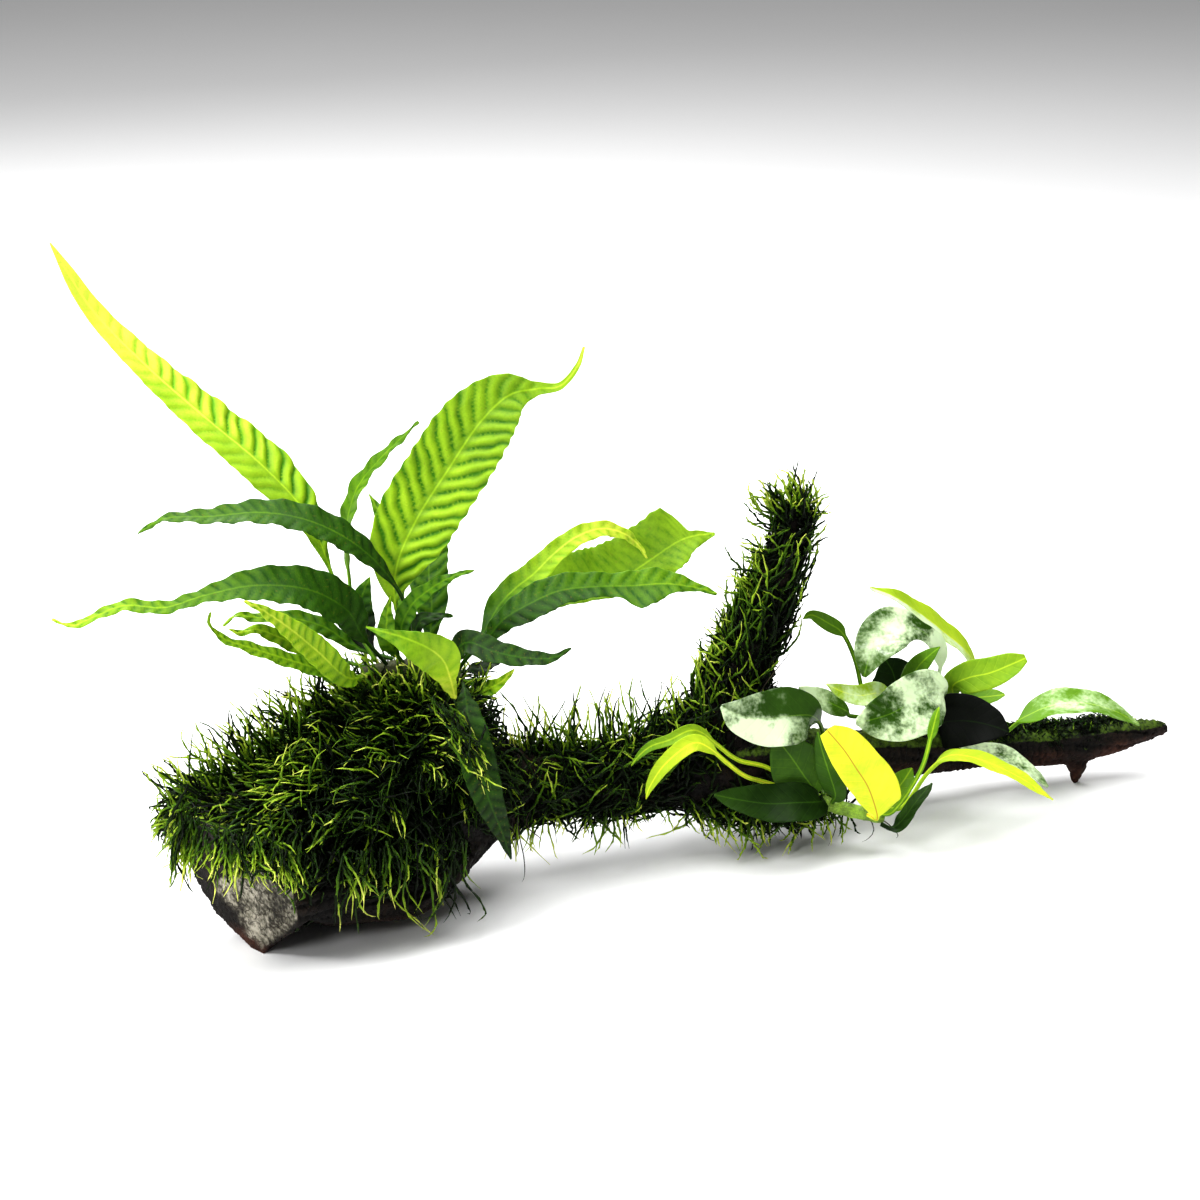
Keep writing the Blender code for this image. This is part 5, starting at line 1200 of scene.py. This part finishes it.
# %% Sprays of longer stems
WISP_RINGS = 13
SPRAYS = {
    "crown_front": ([(345, 694, -22), (410, 700, -24), (475, 700, -12)],
                    [(322, 668, -30), (405, 668, -34), (490, 676, -14)], 120),
    "crown_back": ([(350, 684, 14), (410, 690, 16), (470, 690, 16)],
                   [(342, 652, 20), (410, 656, 24), (482, 662, 22)], 80),
    "over_the_cut": ([(186, 822, -104), (240, 838, -112), (300, 850, -100)],
                     [(176, 872, -112), (240, 882, -122), (304, 884, -110)], 110),
    "left_edge": ([(190, 795, -100), (184, 830, -104)], [(166, 832, -108), (186, 900, -112)], 36),
    "below_the_belly": ([(330, 852, -100), (400, 850, -80), (470, 832, -52)],
                        [(330, 905, -98), (402, 922, -74), (484, 900, -44)], 60),
    "upper_left": ([(180, 812, -90), (262, 762, -50), (345, 706, -25)],
                   [(154, 776, -98), (232, 718, -56), (318, 668, -28)], 170),
    "branch_upper": ([(515, 775, 22), (600, 768, 38), (700, 735, 62)],
                     [(505, 714, 16), (600, 702, 36), (690, 674, 60)], 110),
    "branch_lower": ([(505, 800, 6), (600, 800, 28), (700, 800, 48)],
                     [(512, 850, 2), (600, 838, 26), (700, 830, 44)], 70),
    "upright_top": ([(775, 522, 80), (795, 512, 82), (806, 524, 84)],
                    [(746, 500, 68), (790, 477, 72), (830, 502, 84)], 90),
    "upright_left": ([(772, 550, 78), (748, 620, 76), (728, 685, 74)],
                     [(746, 530, 70), (722, 596, 68), (696, 655, 64)], 60),
    "upright_right": ([(802, 540, 84), (784, 600, 82), (768, 655, 80)],
                      [(824, 522, 88), (804, 588, 88), (784, 640, 84)], 30),
    "over_the_low_frond": ([(440, 700, -60), (455, 720, -74), (470, 750, -80)],
                           [(462, 735, -74), (478, 760, -84), (496, 792, -84)], 60),
    "below_the_fork": ([(690, 800, 48), (765, 812, 50), (850, 806, 62)],
                       [(696, 834, 44), (770, 846, 44), (846, 838, 56)], 60),
}


def spray(root_line, tip_line, count, draw):
    """Lines and directions of bent stems between two lines; both are lists of pixels with depths."""
    t = draw.uniform(0, 1, count)
    roots = curve(np.array([spot(*p) for p in root_line]), t) + draw.normal(size=(count, 3)) * 3
    tips = curve(np.array([spot(*p) for p in tip_line]), np.clip(t + draw.normal(size=count) * 0.08, 0, 1))
    tips = roots + (tips - roots) * draw.uniform(0.6, 1.25, (count, 1)) + draw.normal(size=(count, 3)) * 4
    span = np.linalg.norm(tips - roots, axis=1)[:, None]
    bend = draw.normal(size=(2, count, 3)) * span * 0.16
    return swaying(roots, tips, bend, WISP_RINGS)


grown = [spray(*shape, draw) for shape in SPRAYS.values()]
line, way = (np.concatenate(parts) for parts in zip(*grown))
points, quads, ends = stem_tubes(line, way, 0.5, 1.3, draw)
wisps = len(line)
# Seven wisps in ten are made bright: partly young growth and partly painted light, for light shining through
# thin stems at the outline.
young = np.where(draw.random(wisps) < 0.7, draw.uniform(0.7, 1.15, wisps), draw.uniform(0.1, 0.45, wisps))
marks = stem_marks(young, WISP_RINGS)
keep(piece_from("moss_wisps", points, quads, MOSS_FINISH, marks, ends.tolist()), "java_moss")
print("wisps:", wisps)

# %% [markdown]
# ## Roots
# Both plants send thin dark roots over the wood, and some hang free below it. They are tubes under a
# millimetre thick, bent like the moss stems but smooth, so the same two helpers make them.

# %% Roots
ROOT_RINGS = 14
ROOT_FINISH, tree, shader = new_finish("root_brown")
blotches = use(tree, MOTTLING, "Tone", Place=place_in(tree), Blotch_Scale=90.0, Speck_Scale=600.0,
               Specks=0.4)
into(tree, shader, Base_Color=ramp(tree, maths(tree, "ADD", blotches, 0.5), (0.3, (0.006, 0.004, 0.002)),
                                   (0.8, (0.05, 0.035, 0.015))), Roughness=0.6)
HANGING_ROOTS = [
    ((518, 815, -8), (522, 882, -12)), ((530, 812, 0), (540, 842, -10)), ((512, 820, -5), (516, 856, -20)),
    ((752, 815, 60), (752, 872, 52)), ((760, 812, 60), (744, 846, 48)), ((832, 805, 62), (828, 846, 56)),
    ((625, 800, 40), (634, 832, 34)), ((668, 800, 50), (660, 826, 42)), ((700, 806, 58), (706, 836, 50)),
    ((880, 818, 50), (896, 838, 44)), ((870, 820, 50), (862, 842, 46)), ((735, 740, 56), (802, 640, 52)),
]
roots = np.array([spot(*a) for a, _ in HANGING_ROOTS])
tips = np.array([spot(*b) for _, b in HANGING_ROOTS])
sway = draw.normal(size=(2, len(roots), 3)) * 4
line, way = swaying(roots, tips, sway, ROOT_RINGS)
points, quads, ends = stem_tubes(line, way, 0.4, 0.4, draw)
keep(piece_from("hanging_roots", points, quads, ROOT_FINISH, {}, ends.tolist()), "fern_rhizome")
print("hanging roots:", len(roots))

# %% [markdown]
# ## The floor, the light and the camera
# The object stands on a white floor in soft studio light. A very large lamp overhead gives most of the light,
# a smaller key lamp stands at the upper left, and a third in front draws the sheen on the leaves. A rim lamp
# behind lights the edges. The surroundings look white but add little light. The camera stands where the
# photographer stood, at the distance that the sighting helper used.

# %% Floor
bpy.ops.mesh.primitive_plane_add(size=12, location=(0.13, 0.04, 0))
floor = bpy.context.active_object
floor.name = "floor"
paper, tree, shader = new_finish("white_floor")
tint = use(tree, MOTTLING, "Tone", Place=place_in(tree), Blotch_Scale=2.0, Speck_Scale=30.0, Specks=0.1)
into(tree, shader, Base_Color=ramp(tree, maths(tree, "ADD", tint, 0.5), (0.0, (0.88, 0.88, 0.88)),
                                   (1.0, (0.92, 0.92, 0.92))), Roughness=0.9)
floor.data.materials.append(paper)
print("floor:", floor.dimensions[:2])

# %% Lights
def studio_lamp(name, place, aim, size, power):
    lamp = bpy.data.lights.new(name, "AREA")
    lamp.shape, lamp.size, lamp.energy = "DISK", size, power
    stand = bpy.data.objects.new(name, lamp)
    stand.location = place
    stand.rotation_euler = (Vector(aim) - Vector(place)).to_track_quat("-Z", "Y").to_euler()
    bpy.context.scene.collection.objects.link(stand)
    return stand


MIDDLE = (0.13, 0.03, 0.15)
studio_lamp("key_lamp", (-1.1, -0.8, 1.3), MIDDLE, 0.5, 24)
studio_lamp("sheen_lamp", (-0.45, -1.6, 1.1), MIDDLE, 0.45, 9)
studio_lamp("rim_lamp", (-0.4, 1.3, 1.2), MIDDLE, 0.7, 14)
studio_lamp("ceiling_lamp", (0.0, 0.1, 1.9), MIDDLE, 2.2, 62)
world = bpy.data.worlds.new("white_studio")
world.use_nodes = True
sky = world.node_tree
background = sky.nodes["Background"]
background.inputs["Color"].default_value = (1, 1, 1, 1)
seen = add(sky, "LightPath")
sky.links.new(add(sky, "MapRange", seen, 0.0, 1.0, 0.15, 1.05), background.inputs["Strength"])
bpy.context.scene.world = world
bpy.context.scene.view_settings.view_transform = "Standard"
bpy.context.scene.view_settings.look = "Medium High Contrast"
print("lamps: 4")

# %% Camera
camera_data = bpy.data.cameras.new("camera")
camera = bpy.data.objects.new("camera", camera_data)
camera_data.sensor_width = 36
camera_data.lens = 36 * VIEW_DISTANCE / (PIXEL_MM * PHOTO_SIDE)
camera.location = Vector(EYE * MM)
camera.rotation_euler = (Vector(AIM) - Vector(EYE)).to_track_quat("-Z", "Y").to_euler()
bpy.context.scene.collection.objects.link(camera)
bpy.context.scene.camera = camera
print("lens:", round(camera_data.lens, 1), "mm")

# %% Count the triangles
triangles = {}
for obj in bpy.context.scene.objects:
    if obj.type == "MESH" and not obj.hide_render:
        triangles[obj.name] = sum(len(face.vertices) - 2 for face in obj.data.polygons)
print("triangles in all:", sum(triangles.values()), "and in the largest piece:", max(triangles.values()))
